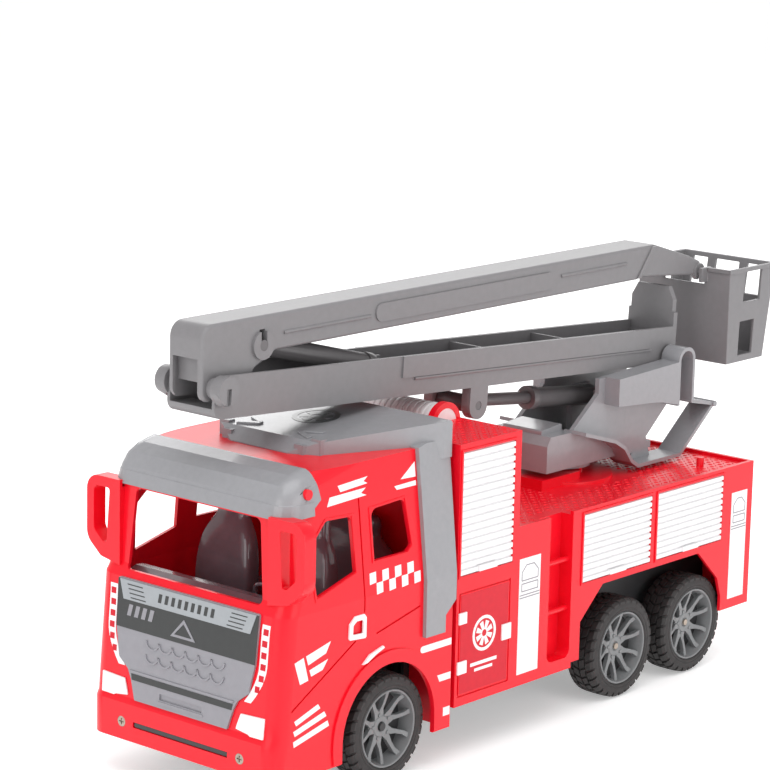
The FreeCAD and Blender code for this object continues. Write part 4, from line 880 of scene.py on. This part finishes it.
def tyre_mesh():
    """Broad tyre: plain sidewalls, a bead line and low blocks between narrow grooves."""
    bm = bmesh.new()
    half = [(0.0, 24.0), (6.2, 23.9), (7.3, 23.4), (8.2, 22.2), (8.46, 21.0), (8.46, 20.2), (8.28, 20.05),
            (8.28, 19.75), (8.46, 19.6), (8.46, 18.8), (8.1, 18.25), (7.8, 18.02)]
    profile = half + [(-y, r) for y, r in reversed(half[1:])]
    add_ring(bm, profile, 120)
    pitch = 2 * math.pi / TREAD_BLOCKS
    for index in range(TREAD_BLOCKS):
        a = index * pitch
        for sign in (-1, 1):
            skew = 0.02 * sign
            crown = [(sign * 0.35, 23.6, 24.97), (sign * 3.4, 23.6, 24.95)]
            shoulder = [(sign * 4.1, 23.6, 24.92), (sign * 6.9, 23.4, 24.7), (sign * 8.15, 22.0, 23.5)]
            add_tread_block(bm, a, pitch * 0.86, crown, skew)
            add_tread_block(bm, a + pitch * 0.5, pitch * 0.84, shoulder, skew)
    return mesh_from("tyre_with_blocks", bm, RUBBER)


def wheel_nodes():
    """Each tyre's node with the body that it turns on."""
    bodies = frame["record"]["behaviour"]["bodies"]
    return [(node, body) for body, nodes in bodies.items() for node in nodes if "_tyre_" in node]


def build_tyres():
    mesh = tyre_mesh()
    for node, body in wheel_nodes():
        low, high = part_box(node)
        tyre = linked(node + "_treaded", mesh)
        tyre.matrix_world = Matrix.Translation((low + high) / 2)
        soften(tyre, 0.18, 2, 35.0)
        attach(tyre, body)
        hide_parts(node)


def spoke_point(u, v, y, heading):
    """Point u out along a spoke, v across it and y along the axle."""
    x = u * math.cos(heading) - v * math.sin(heading)
    z = u * math.sin(heading) + v * math.cos(heading)
    return Vector((x, y, z)) * MM


def add_tine(bm, heading, sign):
    """One arm of a forked spoke, leaning out from the hub to the rim."""
    stations = [(4.0, 1.2, 3.4, 1.7), (7.6, 1.6, 3.9, 1.5), (10.2, 3.1, 4.7, 1.1), (13.4, 4.45, 5.6, 1.05),
                (16.8, 4.9, 6.9, 1.35)]
    loops = []
    for r, off, y, half in stations:
        ring = []
        for across, depth in ((-half, 0.0), (half, 0.0), (half, -2.4), (-half, -2.4)):
            ring.append(bm.verts.new(spoke_point(r, sign * off + across, y + depth, heading)))
        loops.append(ring)
    for first, second in zip(loops, loops[1:]):
        for k in range(4):
            j = (k + 1) % 4
            bm.faces.new((first[k], first[j], second[j], second[k]))
    bm.faces.new(loops[0][::-1])
    bm.faces.new(loops[-1])


def rim_mesh(side):
    """Deep rim: lip, conical barrel, back plate, five forked spokes, hub and nuts."""
    bm = bmesh.new()
    barrel = [(7.7, 18.0), (8.25, 17.85), (8.4, 17.4), (8.1, 16.95), (7.2, 16.75), (0.4, 15.6), (0.4, 16.4),
              (-8.4, 16.4), (-8.5, 18.0)]
    web = [(4.6, -2.0), (8.2, -1.2), (8.2, 1.2), (4.6, 2.0)]
    nut_circle, nut_r = 5.6, 0.85
    add_ring(bm, barrel, 72)
    add_ring(bm, [(0.6, 2.0), (0.6, 16.0), (-0.8, 16.0), (-0.8, 2.0)], 48)
    for face in bm.faces:
        if all(abs(vert.co.y) < 1.0 * MM for vert in face.verts):
            face.material_index = 1
    add_ring(bm,
             [(-6.0, 1.95), (3.4, 1.95), (3.9, 2.4), (3.9, 4.6), (3.3, 5.4), (-1.0, 5.6), (-6.0, 3.4)], 40)
    add_ring(bm, [(3.0, 0.02), (3.6, 0.02), (3.6, 1.9), (3.0, 1.95)], 24)
    for index in range(SPOKES):
        heading = math.radians(SPOKE_PHASE + 360 / SPOKES * index)
        for sign in (-1, 1):
            add_tine(bm, heading, sign)
        nut = []
        for k in range(12):
            b = math.radians(30 * k)
            x = nut_circle * math.cos(heading) + nut_r * math.cos(b)
            z = nut_circle * math.sin(heading) + nut_r * math.sin(b)
            nut.append(Vector((x, 2.9, z)) * MM)
        add_slab(bm, nut, Vector((0, 1.25 * MM, 0)))
        add_slab(bm, [spoke_point(u, v, 0.8, heading) for u, v in web], Vector((0, 2.5 * MM, 0)))
    for vert in bm.verts:
        vert.co.y *= side
    return mesh_from("forked_rim", bm, SLOT_MATERIALS["rim_grey"], SLOT_MATERIALS["black_plastic"])


def build_rims():
    meshes = {side: rim_mesh(side) for side in (1, -1)}
    for tyre_node, body in wheel_nodes():
        node = tyre_node.replace("tyre", "rim")
        low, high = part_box(tyre_node)
        centre = (low + high) / 2
        rim = linked(node + "_forked", meshes[1 if centre.y > 0 else -1])
        rim.matrix_world = Matrix.Translation(centre)
        soften(rim, 0.25, 2, 35.0)
        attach(rim, body)
        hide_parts(node)


# ---- stage ----------------------------------------------------------------
def floor_material():
    material = surface("pale_floor", (0.93, 0.93, 0.93), 0.75, spread=0.01, grain=0.0, scale=4.0,
                       specular=0.1)
    shader = material.node_tree.nodes["Principled BSDF"]
    shader.inputs["Emission Color"].default_value = (1.0, 1.0, 1.0, 1.0)
    shader.inputs["Emission Strength"].default_value = 0.33
    return material


def build_stage():
    bm = bmesh.new()
    reach = 6.0
    corners = [Vector((x, y, 0)) for x,
               y in ((-reach, -reach), (reach, -reach), (reach, reach), (-reach, reach))]
    add_slab(bm, [corner - Vector((0, 0, 0.0101)) for corner in corners], Vector((0, 0, 0.01)))
    linked("floor", mesh_from("floor", bm, floor_material()))


def soft_light(name, location, target, size, power):
    data = bpy.data.lights.new(name, "AREA")
    data.shape = "RECTANGLE"
    data.size = size[0]
    data.size_y = size[1]
    data.energy = power
    lamp = linked(name, data)
    lamp.location = location
    lamp.visible_camera = False
    lamp.rotation_euler = (Vector(target) - Vector(location)).to_track_quat("-Z", "Y").to_euler()


def build_lights():
    middle = (0.0, 0.0, 0.1)
    soft_light("key_soft", (0.35, 0.35, 1.35), middle, (1.3, 1.0), 8.0)
    soft_light("front_soft", (1.5, 0.1, 0.55), middle, (0.9, 0.9), 4.2)
    soft_light("rear_soft", (-1.25, -1.1, 0.95), (0.0, 0.0, 0.18), (1.8, 0.7), 11.0)
    soft_light("side_soft", (-0.1, 1.6, 0.5), middle, (1.2, 0.8), 4.8)
    world = bpy.data.worlds.new("studio")
    world.use_nodes = True
    background = world.node_tree.nodes["Background"]
    background.inputs["Color"].default_value = (1.0, 1.0, 1.0, 1.0)
    background.inputs["Strength"].default_value = 0.72
    bpy.context.scene.world = world
    bpy.context.scene.view_settings.view_transform = "Standard"


def build_camera():
    """Long lens, level a little above the roof, from the front left quarter."""
    data = bpy.data.cameras.new("camera")
    data.sensor_width = 36.0
    data.lens = 139.31
    data.clip_end = 50.0
    camera = linked("camera", data)
    azimuth, elevation, roll = math.radians(130.8415), math.radians(11.9344), math.radians(1.27068)
    level = math.cos(elevation)
    back = Vector((math.sin(azimuth) * level, -math.cos(azimuth) * level, math.sin(elevation)))
    across = Vector((0, 0, 1)).cross(back).normalized()
    upward = back.cross(across)
    right = across * math.cos(roll) + upward * math.sin(roll)
    top = upward * math.cos(roll) - across * math.sin(roll)
    location = at(-0.329, -30.721, 155.083) + back * 1.42013
    matrix = Matrix((
        (right.x, top.x, back.x, location.x),
        (right.y, top.y, back.y, location.y),
        (right.z, top.z, back.z, location.z),
        (0, 0, 0, 1),
    ))
    camera.matrix_world = matrix
    bpy.context.scene.camera = camera


finish_cad_nodes()
cab_side_graphics()
door_handles()
window_frames()
grille_details()
flank_strips()
headlamp_details()
bumper_details()
fairing_details()
tower_details()
locker_door()
stripe_panels()
visor_band()
cab_inside()
boom_tail_ribs()
basket_lip()
build_tyres()
build_rims()
build_stage()
build_lights()
build_camera()
